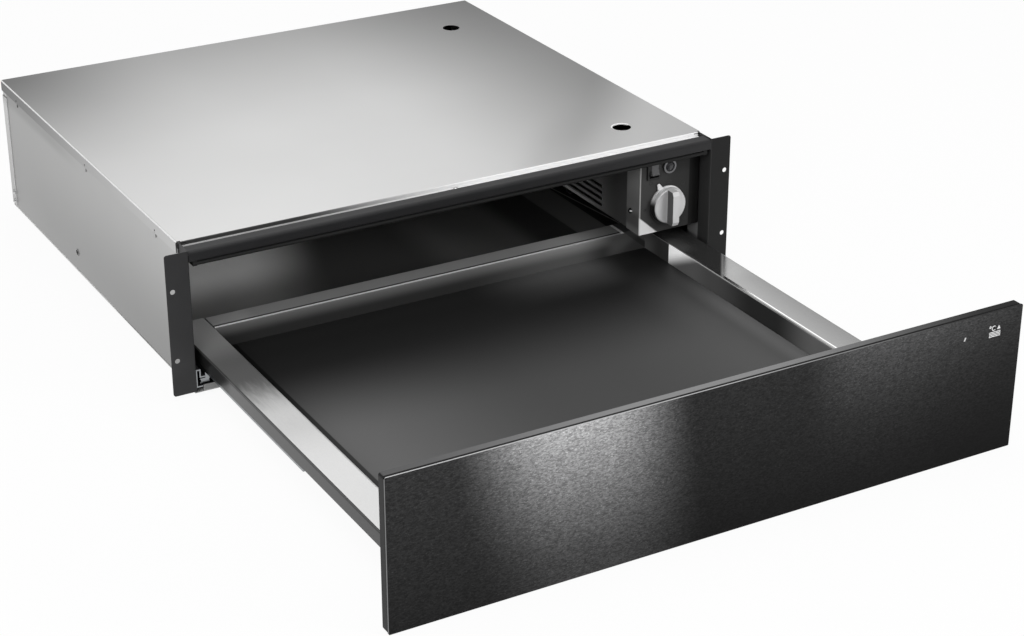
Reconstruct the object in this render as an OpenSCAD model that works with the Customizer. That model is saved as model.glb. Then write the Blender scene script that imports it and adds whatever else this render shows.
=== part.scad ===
// Built in warming drawer, drawn with the drawer pulled out.
// Origin: middle of the housing's underside. X right, Y to the back of the cabinet, Z up, millimetres.

/* [Drawer front] */
// Width of the front
front_w = 594; // [560:1:620]
// Height of the front
front_h = 134.3; // [120:0.1:160]
// How far the front hangs below the housing
front_drop = 3.6; // [1:0.1:8]
// Overhang of the front beside the housing
front_over = 22.2; // [10:0.1:30]
// Thickness of the outer skin
skin_t = 1.2; // [0.8:0.1:2]
// Bevel round the skin
skin_bevel = 0.6; // [0.2:0.1:0.7]
// Corner radius of the skin
skin_r = 2.5; // [1:0.1:4]
// Depth of the frame behind the skin
panel_frame_d = 8.8; // [6:0.1:16]
// Width of the frame's members
panel_frame_w = 14; // [8:1:14]
// Sheet at the back of the front
panel_back_t = 1; // [0.6:0.1:2]
// Air between the closed front and the mounting flanges
push_gap = 3.3; // [2.5:0.1:6]
// Light guide, from the right edge of the front
guide_edge = 60.4; // [40:0.1:80]
// Light guide, from the top edge of the front
guide_top = 18.8; // [12:0.1:30]
// Lean of the light guide's window
guide_lean = 20; // [0:1:30]

/* [Housing] */
// Height of the housing
case_h = 139.3; // [135:0.1:180]
// Depth of the housing behind the cover's front edge
case_d = 484.8; // [480:0.1:520]
// Housing sheet
sheet = 0.8; // [0.6:0.1:1]
// Lap of the cover over the side panels
cover_lap = 11; // [8:0.5:16]
// Step down from the cover to its front ledge
cover_step = 4; // [3:0.1:6]
// Lap of the rear panel over the side panels
rear_lap = 12.4; // [10:0.1:18]
// Outer screws of the rear panel's foot, from the housing's sides
rear_screw_edge = 64.8; // [40:0.1:90]
// Flanges of the side panels, turned in at the top
side_turn = 8; // [5:0.5:12]
// Feet of the side panels, turned in at the bottom
side_foot = 5; // [3:0.5:5]
// Diameter of the two holes in the cover
cover_hole_d = 18.5; // [10:0.1:24]
// Distance between the two holes
cover_hole_gap = 355.8; // [300:0.1:380]
// The holes, from the right edge of the cover
cover_hole_edge = 61.7; // [40:0.1:100]
// The front hole, behind the cover's front edge
cover_hole_y = 48.6; // [30:0.1:70]

/* [Front frame] */
// Depth of the front frame
frame_d = 21.3; // [20:0.1:26]
// Reach of the mounting flanges beside the housing
flange_w = 20.2; // [12:0.1:22]
// Height of the mounting flanges
flange_h = 136.5; // [110:0.1:137]
// Underside of the mounting flanges
flange_z = 2.2; // [1:0.1:3]
// Corner radius of the mounting flanges
flange_r = 2.5; // [1:0.1:5]
// Screw holes in the flanges
flange_hole_d = 4.8; // [3.5:0.1:5.5]
// Screw holes, from the flanges' outer edges
flange_hole_edge = 5.8; // [4:0.1:8]
// Screw holes, upright spacing
flange_hole_z = 67; // [40:0.5:90]
// Lowest screw holes, above the underside
flange_hole_z0 = 36.3; // [20:0.1:40]
// Lap of the frame inside the side panels
return_lap = 15; // [8:0.5:18]
// Depth of the front beam
beam_d = 14.3; // [11:0.1:15]
// Height of the front beam
beam_h = 10.2; // [8:0.1:14]
// Beam's top face below the cover
beam_step = 1.4; // [0.8:0.1:2]
// The seal's ends, from the frame's sides
seal_end = 3.9; // [1:0.1:20]
// Height of the seal's lip
seal_h = 3.6; // [2.5:0.1:5]

/* [Drawer] */
// Length of the rails left inside when the drawer is out
rail_in = 78; // [70:1:200]
// Room behind the closed drawer
rail_back = 18.4; // [18:0.1:40]
// Width of the side rails
rail_w = 31.5; // [29:0.1:50]
// Top of the rails, above the housing's underside
rail_z = 34.4; // [33:0.1:36]
// Rail sheet
rail_t = 1; // [0.8:0.1:1.2]
// Outer skirt of the rails
skirt_h = 13.4; // [8:0.1:13.4]
// Depth of the warming space below the rails
basin_deep = 21.4; // [15:0.1:24]
// Width of the rear rail
rear_rail_w = 24; // [15:0.5:40]
// Width of the front rail
front_rail_w = 13; // [10:0.5:30]
// Upright of the front rail, above the rails
front_rail_up = 27; // [15:1:60]
// Feet under the floor
rail_foot = 8; // [5:0.5:12]
// Thickness of the mat
mat_t = 1.2; // [0.8:0.1:3]
// Clearance round the floor and the mat
mat_gap = 0.5; // [0.2:0.1:2]

/* [Runners] */
// Underside of the fixed members
runner_z = 4.9; // [3:0.1:5]
// Runner sheet
runner_t = 1.2; // [1:0.1:1.3]
// Width of the fixed members
outer_w = 18.4; // [18:0.1:19]
// Height of the fixed members
outer_h = 17.6; // [17.2:0.1:18]
// Inner lip of the fixed members
outer_lip = 7.5; // [5:0.1:9]
// Width of their fold at the top
outer_fold = 4.6; // [3:0.1:6]
// Depth of that fold
outer_drop = 8.4; // [7:0.1:8.6]
// Reach of the shelf under the fold
outer_shelf = 8.6; // [7:0.1:8.8]
// Space under the middle members
base_gap = 1.3; // [1.2:0.1:1.5]
// Height of the middle members' base
base_h = 4.5; // [4:0.1:4.6]
// Stem of the middle members
stem_w = 3.4; // [2.4:0.1:3.6]
// Space between shelf and deck
deck_gap = 2.9; // [2:0.1:3]
// Width of the middle members' deck
deck_w = 18.4; // [18:0.1:20]
// Outer lip of the deck
deck_lip = 2.4; // [1.3:0.1:2.4]
// Walls on the deck
deck_wall = 9.2; // [7:0.1:10]
// Outer wall, from the deck's outer edge
deck_in = 2.4; // [2.3:0.1:3]
// Width of the drawer members
inner_w = 12; // [8:0.1:14]
// Balls above the deck
ball_up = 4; // [3.8:0.1:4.4]
// Rails' skirts, from the sides of the front frame
rail_off = 8.9; // [8.8:0.1:9.4]
// Room behind the fixed members
outer_back = 12.3; // [10:0.1:40]
// Middle members shorter than the fixed ones
middle_less = 12; // [2:1:40]
// Drawer members shorter than the rails
inner_less = 13; // [4:1:40]
// Ball diameter
ball_d = 4; // [3.6:0.1:4]
// Clearance round a ball
ball_gap = 0.1; // [0.05:0.01:0.15]
// Distance between the balls
ball_pitch = 38; // [20:1:40]
// Length of the lower ball cages
lower_cage_l = 164; // [130:1:166]
// Length of the upper ball cages
upper_cage_l = 214; // [200:1:230]
// The middle members' base, behind the frame when the drawer is out
base_back = 4; // [2:0.5:8]

/* [Equipment bay] */
// Width of the bay, from the right side of the housing
bay_w = 72.9; // [70:0.1:90]
// Height of the bay's floor above the rails
bay_gap = 10.9; // [8:0.1:11]
// Set-back of the fascia behind the flanges
fascia_back = 16.5; // [16:0.1:22]
// Width of the fascia
fascia_w = 68.8; // [60:0.1:69]
// Bottom of the fascia
fascia_z = 45.3; // [44:0.1:50]
// Side flange of the fascia
fascia_turn = 23.5; // [18:0.1:30]
// Screw in the side flange, behind the fascia
fascia_screw_y = 16; // [13:0.1:20]
// Height of that screw
fascia_screw_z = 66.3; // [56:0.1:90]
// Knob, from the fascia's left edge
knob_x = 30.8; // [27:0.1:34]
// Height of the knob
knob_z = 73.3; // [68:0.1:74]
// Radius of the knob
knob_r = 18; // [14:0.1:19]
// Depth of the grip bar
grip_d = 10; // [6:0.1:12]
// Width of the grip bar
grip_w = 7.5; // [5:0.1:12]
// Reach of the pointer
pointer_r = 25; // [21:0.1:27]
// Diameter of the regulator's shaft
shaft_d = 6; // [4:0.1:6.5]
// Running clearance of shafts, on the radius
run_gap = 0.05; // [0.02:0.01:0.09]
// Switch frame, from the fascia's left edge
switch_x = 7.8; // [5:0.1:9]
// Width of the switch frame
switch_w = 14.6; // [12:0.1:17]
// Height of the switch frame
switch_h = 21; // [16:0.1:24]
// Middle of the switch and of the lamp
panel_row_z = 112.5; // [110:0.1:115]
// Lamp, from the fascia's left edge
lamp_x = 33.2; // [32:0.1:40]
// Diameter of the lamp's ring
lamp_d = 14; // [10:0.1:15]
// Length of the louvres
louvre_l = 100; // [50:1:110]
// Height of a louvre
louvre_h = 3; // [2:0.1:4]
// Distance between the louvres
louvre_pitch = 6.7; // [5:0.1:7]
// Number of louvres
louvre_n = 4; // [2:1:4]
// Lowest louvre
louvre_z = 52; // [51.8:0.1:53]

/* [Fan and heater] */
// Radius of the impeller
fan_r = 27; // [20:0.5:28]
// Width of the impeller
fan_w = 22; // [14:0.5:24]
// Radius of the fan's inlet
inlet_r = 19; // [12:0.5:20]
// Growth of the scroll's radius
scroll_grow = 12.5; // [8:0.5:12.5]
// Number of blades
blade_n = 24; // [12:1:32]
// Width of the fan's scroll
scroll_w = 34; // [30:0.5:36]
// Wall of the scroll and the duct
scroll_t = 1.2; // [0.8:0.1:2]
// Fan's middle, behind the cover's front edge
fan_back = 220.2; // [214:0.1:242]
// Length of the duct behind the louvres
duct_l = 112; // [110:1:125]
// Radius of the heating tube
tube_r = 2.4; // [1.5:0.1:3]
// Ends of the heating tube, in front of the duct
tube_out = 12; // [8:0.5:14]
// Bend of the heating tube, in front of the duct's rear end
tube_in = 22; // [18:0.5:30]

/* [Latch] */
// Width of the latch
latch_w = 30; // [20:1:60]
// Height of the latch
latch_h = 26; // [24:0.5:30]
// Diameter of the plunger
plunger_d = 7; // [4:0.1:10]
// Stroke of the plunger
plunger_stroke = 3; // [2:0.1:3]

/* [Hidden] */
$fn = 48;
clear = 0.3;
case_w = front_w - 2 * front_over;
w2 = case_w / 2;
y_f = -case_d / 2;
y_r = case_d / 2;
y_p = y_f - frame_d;
x_in = w2 - 2 * sheet;
x_ret = x_in - sheet;
ledge_z = case_h - cover_step;
beam_z1 = case_h - beam_step;
beam_z0 = beam_z1 - beam_h;
front_y = y_p - push_gap - panel_back_t - panel_frame_d - skin_t;
panel_y = y_p - push_gap;
front_z1 = front_h - front_drop;
rail_y0 = panel_y + rail_t;
rail_y1 = y_r - rail_back;
rail_l = rail_y1 - rail_y0;
travel = rail_l - rail_in;
inner_l = rail_l - inner_less;
rail_x = x_ret - rail_off;
basin_x = rail_x - rail_w;
basin_y0 = panel_y + front_rail_w;
basin_y1 = rail_y1 - rear_rail_w;
basin_z = rail_z - basin_deep;
floor_z = basin_z - mat_t - rail_t;
bay_x = w2 - bay_w;
wall_x = bay_x + sheet;
bay_z = rail_z + bay_gap;
outer_y0 = y_p + 1.8;
outer_l = y_r - outer_back - outer_y0;
middle_l = outer_l - middle_less;
fascia_y = y_p + fascia_back;
fascia_b = fascia_y + sheet;
fascia_z1 = ledge_z - sheet;
flange_x = w2 + flange_w;
seal_x = x_ret - seal_end;
knob_cx = bay_x + knob_x;
lamp_cx = bay_x + lamp_x;
switch_cx = bay_x + switch_x + switch_w / 2;
middle_y0 = y_p + 0.7;
inner_y0 = panel_y + 2;
base_y0 = y_p + base_back + travel / 2;
lower_y0 = base_y0 + 1;
upper_y0 = middle_y0 + 33 + travel / 4;
function ball_rows(l) = floor((l - 12) / ball_pitch) + 1;
groove_r = ball_d / 2 + 0.15;
duct_z0 = louvre_z - 5.2;
duct_h = 28.5;
scroll_r0 = fan_r + 3;
scroll_z = duct_z0 + scroll_r0 + scroll_grow;
scroll_x0 = wall_x + sheet;
scroll_x1 = scroll_x0 + scroll_w;
fan_mid = y_f + fan_back;
duct_y1 = fan_mid - 48;
duct_y0 = duct_y1 - duct_l;
latch_y = y_r - 2 * sheet - 11.4;
striker_y = rail_y1 + 1.2;
plunger_y = striker_y + clear;
hole_x = w2 - cover_hole_edge;
guide_x = front_w / 2 - guide_edge;
guide_z = front_z1 - guide_top;
lance_y = [y_f + 53.2, -8.6, y_r - 47.6];
bracket_y = [y_f + 12, -10, y_r - 40];
rear_screw_z = [7.4, 17.4];
panel_screw_x = [for (i = [0:3]) (basin_x - 22) * (2 * i / 3 - 1)];
panel_screw_z = rail_z + 15.6;

// Bent sheet: the path is one face, the sheet lies to its left, and a point's third number is its inner radius
function at(p) = [p[0], p[1]];
function left(d) = [-d[1], d[0]];
function turned(n, a) = [n[0] * cos(a) - n[1] * sin(a), n[0] * sin(a) + n[1] * cos(a)];
function way(a, b) = (at(b) - at(a)) / norm(at(b) - at(a));
function bend(a, v, b, t, d, k) =
  let (d1 = way(a, v), d2 = way(v, b))
  let (ang = atan2(d1[0] * d2[1] - d1[1] * d2[0], d1 * d2), s = sign(ang))
  let (rho = s > 0 ? v[2] + t : v[2])
  let (c = at(v) + left(d1) * s * rho - d1 * rho * tan(abs(ang) / 2))
  [for (i = [0:k]) c - turned(left(d1), ang * i / k) * s * (rho - s * d)];
function face(p, t, d, k = 4) = let (n = len(p) - 1) concat(
  [at(p[0]) + left(way(p[0], p[1])) * d],
  [for (i = [1:1:n - 1]) for (q = bend(p[i - 1], p[i], p[i + 1], t, d, k)) q],
  [at(p[n]) + left(way(p[n - 1], p[n])) * d]);
function backwards(l) = [for (i = [len(l) - 1:-1:0]) l[i]];
function folded(p, t) = concat(face(p, t, 0), backwards(face(p, t, t)));

module along_y(y0, y1) translate([0, y1, 0]) rotate([90, 0, 0]) linear_extrude(y1 - y0) children();
module along_x(x0, x1) translate([x0, 0, 0]) rotate([90, 0, 90]) linear_extrude(x1 - x0) children();
module block(a, b) translate(a) cube(b - a);
module rod_y(x, z, r, y0, y1) translate([x, y0, z]) rotate([-90, 0, 0]) cylinder(r = r, h = y1 - y0);
module rod_x(y, z, r, x0, x1) translate([x0, y, z]) rotate([0, 90, 0]) cylinder(r = r, h = x1 - x0);
module rod_z(x, y, r, z0, z1) translate([x, y, z0]) cylinder(r = r, h = z1 - z0);
module both_sides() {
  children();
  mirror([1, 0, 0]) children();
}
module round_rect(x0, z0, x1, z1, r) {
  translate([x0 + r, z0]) square([x1 - x0 - 2 * r, z1 - z0]);
  translate([x0, z0 + r]) square([x1 - x0, z1 - z0 - 2 * r]);
  for (x = [x0 + r, x1 - r]) for (z = [z0 + r, z1 - r]) translate([x, z]) circle(r);
}
// Pan head with a cross recess, its head above the origin and its shank below
module screw(r, h, shank_r, shank) {
  difference() {
    union() {
      cylinder(r = r, h = h * 0.45);
      translate([0, 0, h * 0.45]) cylinder(r1 = r, r2 = r * 0.6, h = h * 0.55, $fn = 32);
    }
    for (a = [0, 90]) rotate(a) translate([-r * 0.5, -0.3, h * 0.5]) cube([r, 0.6, h]);
  }
  translate([0, 0, -shank]) cylinder(r = shank_r, h = shank);
}
screw_r = 2.7;
screw_h = 1.8;
shank_r = 1.5;
shank_gap = 0.1;

// Housing
module top_cover() color([0.72, 0.72, 0.71]) difference() {
  union() {
    along_y(y_f + 2.5, y_r) polygon(folded([[w2, case_h - cover_lap], [w2, case_h, 0.6], [-w2, case_h, 0.6],
      [-w2, case_h - cover_lap]], sheet));
    along_x(-w2 + 4, w2 - 4) polygon(folded([[y_f + 2.6, case_h], [y_f, case_h, 0.4],
      [y_f, ledge_z, 0.3], [y_p + 2, ledge_z]], sheet));
  }
  for (y = [0, cover_hole_gap]) rod_z(hole_x, y_f + cover_hole_y + y, cover_hole_d / 2, case_h - 2, case_h + 1);
  for (y = lance_y) both_sides() block([w2 - 1.4, y - 1.2, case_h - cover_lap - 1],
    [w2 + 1, y + 1.2, case_h - cover_lap + 3.6]);
  rod_z(0, y_f - 3.6, shank_r + shank_gap, ledge_z - 2, ledge_z + 1);
}
module side_panel() color([0.6, 0.6, 0.6]) difference() {
  union() {
    along_y(y_f, y_r - sheet - 0.7) polygon(folded([[-w2 + sheet + side_turn, case_h - sheet],
      [-w2 + sheet, case_h - sheet, 0.4], [-w2 + sheet, sheet, 0.4], [-w2 + sheet + side_foot, sheet]], sheet));
    for (y = lance_y) block([-w2 + 0.1, y - 0.9, case_h - cover_lap - 4],
      [-w2 + sheet + 0.1, y + 0.9, case_h - cover_lap + 2.4]);
    rod_x(39.3, 21.7, 3.6, -w2 + 0.3, -w2 + sheet + 0.1);
  }
  rod_x(39.3, 21.7, 2.6, -w2 - 1, -x_in + 1);
  for (z = rear_screw_z) rod_x(y_r - 9.5, z, shank_r + shank_gap, -w2 - 1, -x_in + 1);
}
module left_side_panel() side_panel();
module right_side_panel() mirror([1, 0, 0]) side_panel();
module rear_panel() color([0.62, 0.62, 0.61]) difference() {
  union() {
    translate([0, 0, 3]) linear_extrude(case_h - cover_lap - 4.8 - 3) polygon(folded([[w2, y_r - rear_lap],
      [w2, y_r, 0.6], [-w2, y_r, 0.6], [-w2, y_r - rear_lap]], sheet));
    block([-w2 + 1.4, y_r - sheet, 0], [w2 - 1.4, y_r, case_h - sheet]);
    along_x(-w2 + 12, wall_x - 2) polygon(folded([[y_r, case_h - 6], [y_r, case_h - sheet, 0.4],
      [y_r - 9, case_h - sheet]], sheet));
  }
  for (i = [0:6]) block([bay_x + 9 + 7 * i, y_r - 2, case_h - 95], [bay_x + 12 + 7 * i, y_r + 1,
    case_h - 71]);
  rod_y(gland_x, gland_z, gland_r, y_r - 2, y_r + 1);
  for (z = rear_screw_z) both_sides() rod_x(y_r - 9.5, z, shank_r + shank_gap, -w2 - 1, -x_in + 1);
  for (x = rear_screw_x) rod_y(x, 6, shank_r + shank_gap, y_r - 2, y_r + 1);
}
gland_x = w2 - 30;
gland_z = 104;
gland_r = 8;
rear_screw_x = [for (i = [0:3]) (w2 - rear_screw_edge) * (2 * i / 3 - 1)];
module base_plate() color([0.66, 0.66, 0.65]) difference() {
  along_x(-w2 + sheet, w2 - sheet) polygon(folded([[y_p + sheet, 7], [y_p + sheet, 0, 0.4],
    [y_r - sheet, 0, 0.4], [y_r - sheet, 13]], sheet));
  for (x = rear_screw_x) rod_y(x, 6, shank_r + shank_gap, y_r - 3, y_r + 1);
  both_sides() block([-w2, y_p, sheet], [-w2 + sheet + 8, y_f, 8]);
  both_sides() block([-w2, y_r - 4, sheet], [-w2 + sheet + 8, y_r, 14]);
}

// Front frame
module mounting_flange() color([0.06, 0.06, 0.065]) difference() {
  union() {
    along_y(y_p, y_p + sheet) intersection() {
      round_rect(-flange_x, flange_z, -x_ret + 20, flange_z + flange_h, flange_r);
      translate([-flange_x, 0]) square([flange_x - x_ret - 2, case_h]);
    }
    translate([0, 0, flange_z]) linear_extrude(flange_h) polygon(folded([[-x_ret - 6, y_p],
      [-x_ret, y_p, 0.4], [-x_ret, y_f + return_lap]], sheet));
  }
  block([-x_in - 1, y_f - 0.5, case_h - 2 * sheet - clear], [-x_ret + 1, y_r, case_h + 1]);
  for (z = [0, flange_hole_z]) rod_y(flange_hole_edge - flange_x, flange_hole_z0 + z, flange_hole_d / 2, y_p - 1, y_p + 2);
}
module left_flange() mounting_flange();
module right_flange() mirror([1, 0, 0]) mounting_flange();
module front_beam() color([0.05, 0.05, 0.055])
  along_x(-x_ret, x_ret) polygon(folded([[y_p + beam_d, ledge_z], [y_p + beam_d, beam_z1, 0.4],
    [y_p, beam_z1, 2.2], [y_p, beam_z0, 0.6], [y_p + beam_d - 1, beam_z0]], sheet));
module door_seal() color([0.03, 0.03, 0.03]) {
  along_x(-seal_x, seal_x) {
    translate([y_p + 2.6, beam_z0 - 1]) square([7, 1]);
    difference() {
      union() {
        translate([y_p + 2.2, beam_z0 - 1 - seal_h]) square([8.6, seal_h]);
        translate([y_p + 2.2, beam_z0 - 1 - seal_h / 2]) circle(seal_h / 2);
      }
      translate([y_p + 2.6, beam_z0 - 1 - seal_h / 2]) circle(seal_h / 2 - 0.8);
      translate([y_p + 2.6, beam_z0 - 1 - seal_h + 0.8]) square([7.2, seal_h - 1.6]);
    }
  }
  both_sides() block([seal_x - 4, y_p + 1, beam_z0 - 1 - seal_h], [seal_x, y_p + 10.8, beam_z0]);
}

// Equipment bay
module cavity_wall() color([0.68, 0.68, 0.67]) difference() {
  union() {
    along_y(fascia_y + 9, y_r - sheet - clear) polygon(folded([[wall_x + 8, case_h - sheet],
      [wall_x, case_h - sheet, 0.4], [wall_x, bay_z, 0.4], [x_in, bay_z, 0.4], [x_in, bay_z + 9]], sheet));
    for (i = [0:louvre_n - 1]) along_y(louvre_y0 + 1, louvre_y0 + louvre_l - 1)
      translate([wall_x, louvre_z + i * louvre_pitch]) polygon([[0.2, louvre_h / 2], [0.2, louvre_h / 2 + 0.8],
        [4.2, 0.4 - louvre_h / 2], [4.2, -0.4 - louvre_h / 2]]);
  }
  for (i = [0:louvre_n - 1]) difference() {
    block([wall_x - 1, louvre_y0, louvre_z + i * louvre_pitch - louvre_h / 2],
      [wall_x + sheet + 0.01, louvre_y0 + louvre_l, louvre_z + i * louvre_pitch + louvre_h / 2]);
    along_y(louvre_y0 + 1, louvre_y0 + louvre_l - 1)
      translate([wall_x, louvre_z + i * louvre_pitch]) polygon([[0.2, louvre_h / 2], [0.2, louvre_h / 2 + 0.8],
        [4.2, 0.4 - louvre_h / 2], [4.2, -0.4 - louvre_h / 2]]);
  }
  for (y = [0, cover_hole_gap]) rod_z(hole_x, y_f + cover_hole_y + y, cover_hole_d / 2 + 1, case_h - 22, case_h + 1);
  for (i = [-3:3]) block([wall_x - 1, fan_mid + i * 5 - 1.3, scroll_z - sqrt(289 - 25 * i * i)],
    [wall_x + sheet + 1, fan_mid + i * 5 + 1.3, scroll_z + sqrt(289 - 25 * i * i)]);
  block([x_ret - 1, fascia_y, 0], [x_in + 1, y_f + return_lap + 0.9, case_h]);
  rod_x(fascia_y + fascia_screw_y, fascia_screw_z, shank_r + shank_gap, wall_x - 1, wall_x + 2);
}
louvre_y0 = duct_y0 + 5.7;
module control_fascia() color([0.7, 0.7, 0.69]) difference() {
  union() {
    translate([0, 0, fascia_z]) linear_extrude(fascia_z1 - 1.5 - fascia_z) polygon(folded([
      [bay_x, fascia_y + fascia_turn], [bay_x, fascia_y, 0.4], [bay_x + fascia_w, fascia_y, 0.4],
      [bay_x + fascia_w, fascia_y + 8]], sheet));
    along_x(bay_x + 3, bay_x + fascia_w - 3) polygon(folded([[fascia_b + 8, fascia_z1],
      [fascia_y, fascia_z1, 0.4], [fascia_y, fascia_z1 - 5.2]], sheet));
  }
  rod_y(knob_cx, knob_z, bush_r + shank_gap, fascia_y - 1, fascia_y + 2);
  rod_y(lamp_cx, panel_row_z, lamp_body_r + shank_gap, fascia_y - 1, fascia_y + 2);
  block([switch_cx - switch_w / 2 + 1, fascia_y - 1, panel_row_z - switch_h / 2 + 1],
    [switch_cx + switch_w / 2 - 1, fascia_y + 2, panel_row_z + switch_h / 2 - 1]);
  rod_x(fascia_y + fascia_screw_y, fascia_screw_z, shank_r + shank_gap, bay_x - 1, wall_x + 2);
}
bush_r = 5;
lamp_body_r = 5.5;
rock_w = switch_w - 4.4;
rock_h = switch_h - 5;
rock_y = fascia_y + 2.5;
module switch_body() color([0.05, 0.05, 0.05]) difference() {
  union() {
    block([switch_cx - switch_w / 2, fascia_y - 1.6, panel_row_z - switch_h / 2],
      [switch_cx + switch_w / 2, fascia_y, panel_row_z + switch_h / 2]);
    block([switch_cx - switch_w / 2 + 1.1, fascia_y - 1, panel_row_z - switch_h / 2 + 1.1],
      [switch_cx + switch_w / 2 - 1.1, fascia_y + 18, panel_row_z + switch_h / 2 - 1.1]);
    for (z = [-5, 0, 5]) block([switch_cx - 2.4, fascia_y + 18, panel_row_z + z - 0.4],
      [switch_cx + 2.4, fascia_y + 26, panel_row_z + z + 0.4]);
  }
  block([switch_cx - rock_w / 2 - clear, fascia_y - 2, panel_row_z - rock_h / 2 - 0.6],
    [switch_cx + rock_w / 2 + clear, fascia_y + 12, panel_row_z + rock_h / 2 + 0.6]);
}
// Rocker: a bent cap on a cross pin
module rocker() color([0.35, 0.35, 0.35]) {
  intersection() {
    along_x(switch_cx - rock_w / 2, switch_cx + rock_w / 2) polygon([[rock_y - 6.2, panel_row_z - rock_h / 2 + 0.5],
      [rock_y - 3.9, panel_row_z], [rock_y - 4.4, panel_row_z + rock_h / 2 - 0.5],
      [rock_y + 3, panel_row_z + rock_h / 2 - 3], [rock_y + 5, panel_row_z],
      [rock_y + 3, panel_row_z - rock_h / 2 + 3]]);
    rod_x(rock_y, panel_row_z, rock_h / 2, switch_cx - 20, switch_cx + 20);
  }
}
module lamp_body() color([0.75, 0.76, 0.78]) {
  difference() {
    rod_y(lamp_cx, panel_row_z, lamp_d / 2, fascia_y - 2, fascia_y);
    rod_y(lamp_cx, panel_row_z, lamp_d / 2 - 1.8, fascia_y - 3, fascia_y - 0.8);
  }
  rod_y(lamp_cx, panel_row_z, lamp_body_r, fascia_y - 0.5, fascia_y + 22);
  both_sides_of(lamp_cx) block([lamp_cx + 1.6, fascia_y + 22, panel_row_z - 1.5],
    [lamp_cx + 2.2, fascia_y + 28, panel_row_z + 1.5]);
}
module both_sides_of(x) {
  children();
  translate([2 * x, 0, 0]) mirror([1, 0, 0]) children();
}
module lamp_lens() color([0.2, 0.2, 0.2]) intersection() {
  rod_y(lamp_cx, panel_row_z, lamp_d / 2 - 2, fascia_y - 4, fascia_y - 0.8);
  translate([lamp_cx, fascia_y + 4, panel_row_z]) sphere(r = 7.4);
}
module regulator() color([0.8, 0.78, 0.72]) difference() {
  union() {
    block([knob_cx - 18, fascia_b, knob_z - 18], [knob_cx + 18, fascia_b + 24, knob_z + 18]);
    rod_y(knob_cx, knob_z, bush_r, fascia_y - 1.4, fascia_b + 1);
    for (x = [-10, 0, 10]) block([knob_cx + x - 3, fascia_b + 24, knob_z - 0.4],
      [knob_cx + x + 3, fascia_b + 32, knob_z + 0.4]);
  }
  rod_y(knob_cx, knob_z, shaft_d / 2 + run_gap, fascia_y - 3, fascia_b + 10);
}
module knob_shaft() color([0.6, 0.6, 0.6]) rod_y(knob_cx, knob_z, shaft_d / 2, knob_y + 3.4, fascia_b + 9.4);
knob_y = fascia_y - 8;
module temperature_knob() color([0.75, 0.76, 0.78]) difference() {
  union() {
    translate([knob_cx, knob_y, knob_z]) rotate([-90, 0, 0]) rotate_extrude() polygon([[0, 0], [knob_r - 1, 0],
      [knob_r, 1], [knob_r, 5.6], [knob_r + 1.2, 6], [knob_r + 1.2, 7.4], [knob_r - 1.4, 7.4],
      [knob_r - 1.4, 2], [5, 2], [5, 6.2], [0, 6.2]]);
    intersection() {
      rod_y(knob_cx, knob_z, knob_r - 0.2, knob_y - grip_d, knob_y + 1);
      along_x(knob_cx - grip_w / 2, knob_cx + grip_w / 2) polygon([[knob_y + 0.5, knob_z - knob_r],
        [knob_y + 0.5, knob_z + knob_r], [knob_y - grip_d + 2, knob_z + knob_r], [knob_y - grip_d, knob_z + knob_r - 4],
        [knob_y - grip_d, knob_z - knob_r + 4], [knob_y - grip_d + 2, knob_z - knob_r]]);
    }
    translate([knob_cx, knob_y + 6.4, knob_z]) rotate([0, -25, 0]) along_y(0, 1)
      polygon([[-3.4, knob_r - 1], [3.4, knob_r - 1], [1.3, pointer_r], [-1.3, pointer_r]]);
  }
  rod_y(knob_cx, knob_z, shaft_d / 2 + 0.02, knob_y + 3.4, knob_y + 8);
}

// Fan and heater
function scroll_at(g) = [for (a = [200:-10:-90]) [fan_mid + (scroll_r0 + scroll_grow * (200 - a) / 290 - g) * cos(a),
  scroll_z + (scroll_r0 + scroll_grow * (200 - a) / 290 - g) * sin(a)]];
module scroll_shape(g) polygon(concat(scroll_at(g), [[duct_y1 - 1, duct_z0 + g], [duct_y1 - 1, duct_z0 + duct_h - g]]));
module fan_scroll() color([0.7, 0.7, 0.68]) difference() {
  intersection() {
    along_x(scroll_x0, scroll_x1) scroll_shape(0);
    block([scroll_x0, duct_y1, bay_z], [scroll_x1, y_r, case_h]);
  }
  along_x(scroll_x0 + scroll_t, scroll_x1 - scroll_t) scroll_shape(scroll_t);
  rod_x(fan_mid, scroll_z, inlet_r, scroll_x0 - 1, scroll_x0 + 2);
  rod_x(fan_mid, scroll_z, 6, scroll_x1 - 2, scroll_x1 + 1);
}
fan_x1 = scroll_x1 - scroll_t - 3;
module fan_impeller() color([0.3, 0.3, 0.32]) difference() {
  impeller_solid();
  rod_x(fan_mid, scroll_z, 1.52, fan_x1 - fan_w, fan_x1 + 1);
}
module impeller_solid() {
  rod_x(fan_mid, scroll_z, fan_r, fan_x1 - 1, fan_x1);
  difference() {
    rod_x(fan_mid, scroll_z, fan_r, fan_x1 - fan_w, fan_x1 - fan_w + 1.4);
    rod_x(fan_mid, scroll_z, fan_r - 5, fan_x1 - fan_w - 1, fan_x1 - fan_w + 2);
  }
  for (i = [0:blade_n - 1]) translate([0, fan_mid, scroll_z]) rotate([i * 360 / blade_n, 0, 0])
    translate([fan_x1 - fan_w + 1, fan_r - 4.6, -0.4]) rotate([30, 0, 0]) cube([fan_w - 1.5, 4.6, 0.8]);
  rod_x(fan_mid, scroll_z, 5, fan_x1 - 9, fan_x1 - 0.5);
}
module fan_shaft() color([0.6, 0.6, 0.6]) rod_x(fan_mid, scroll_z, 1.5, fan_x1 - 12, scroll_x1 + 18);
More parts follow.
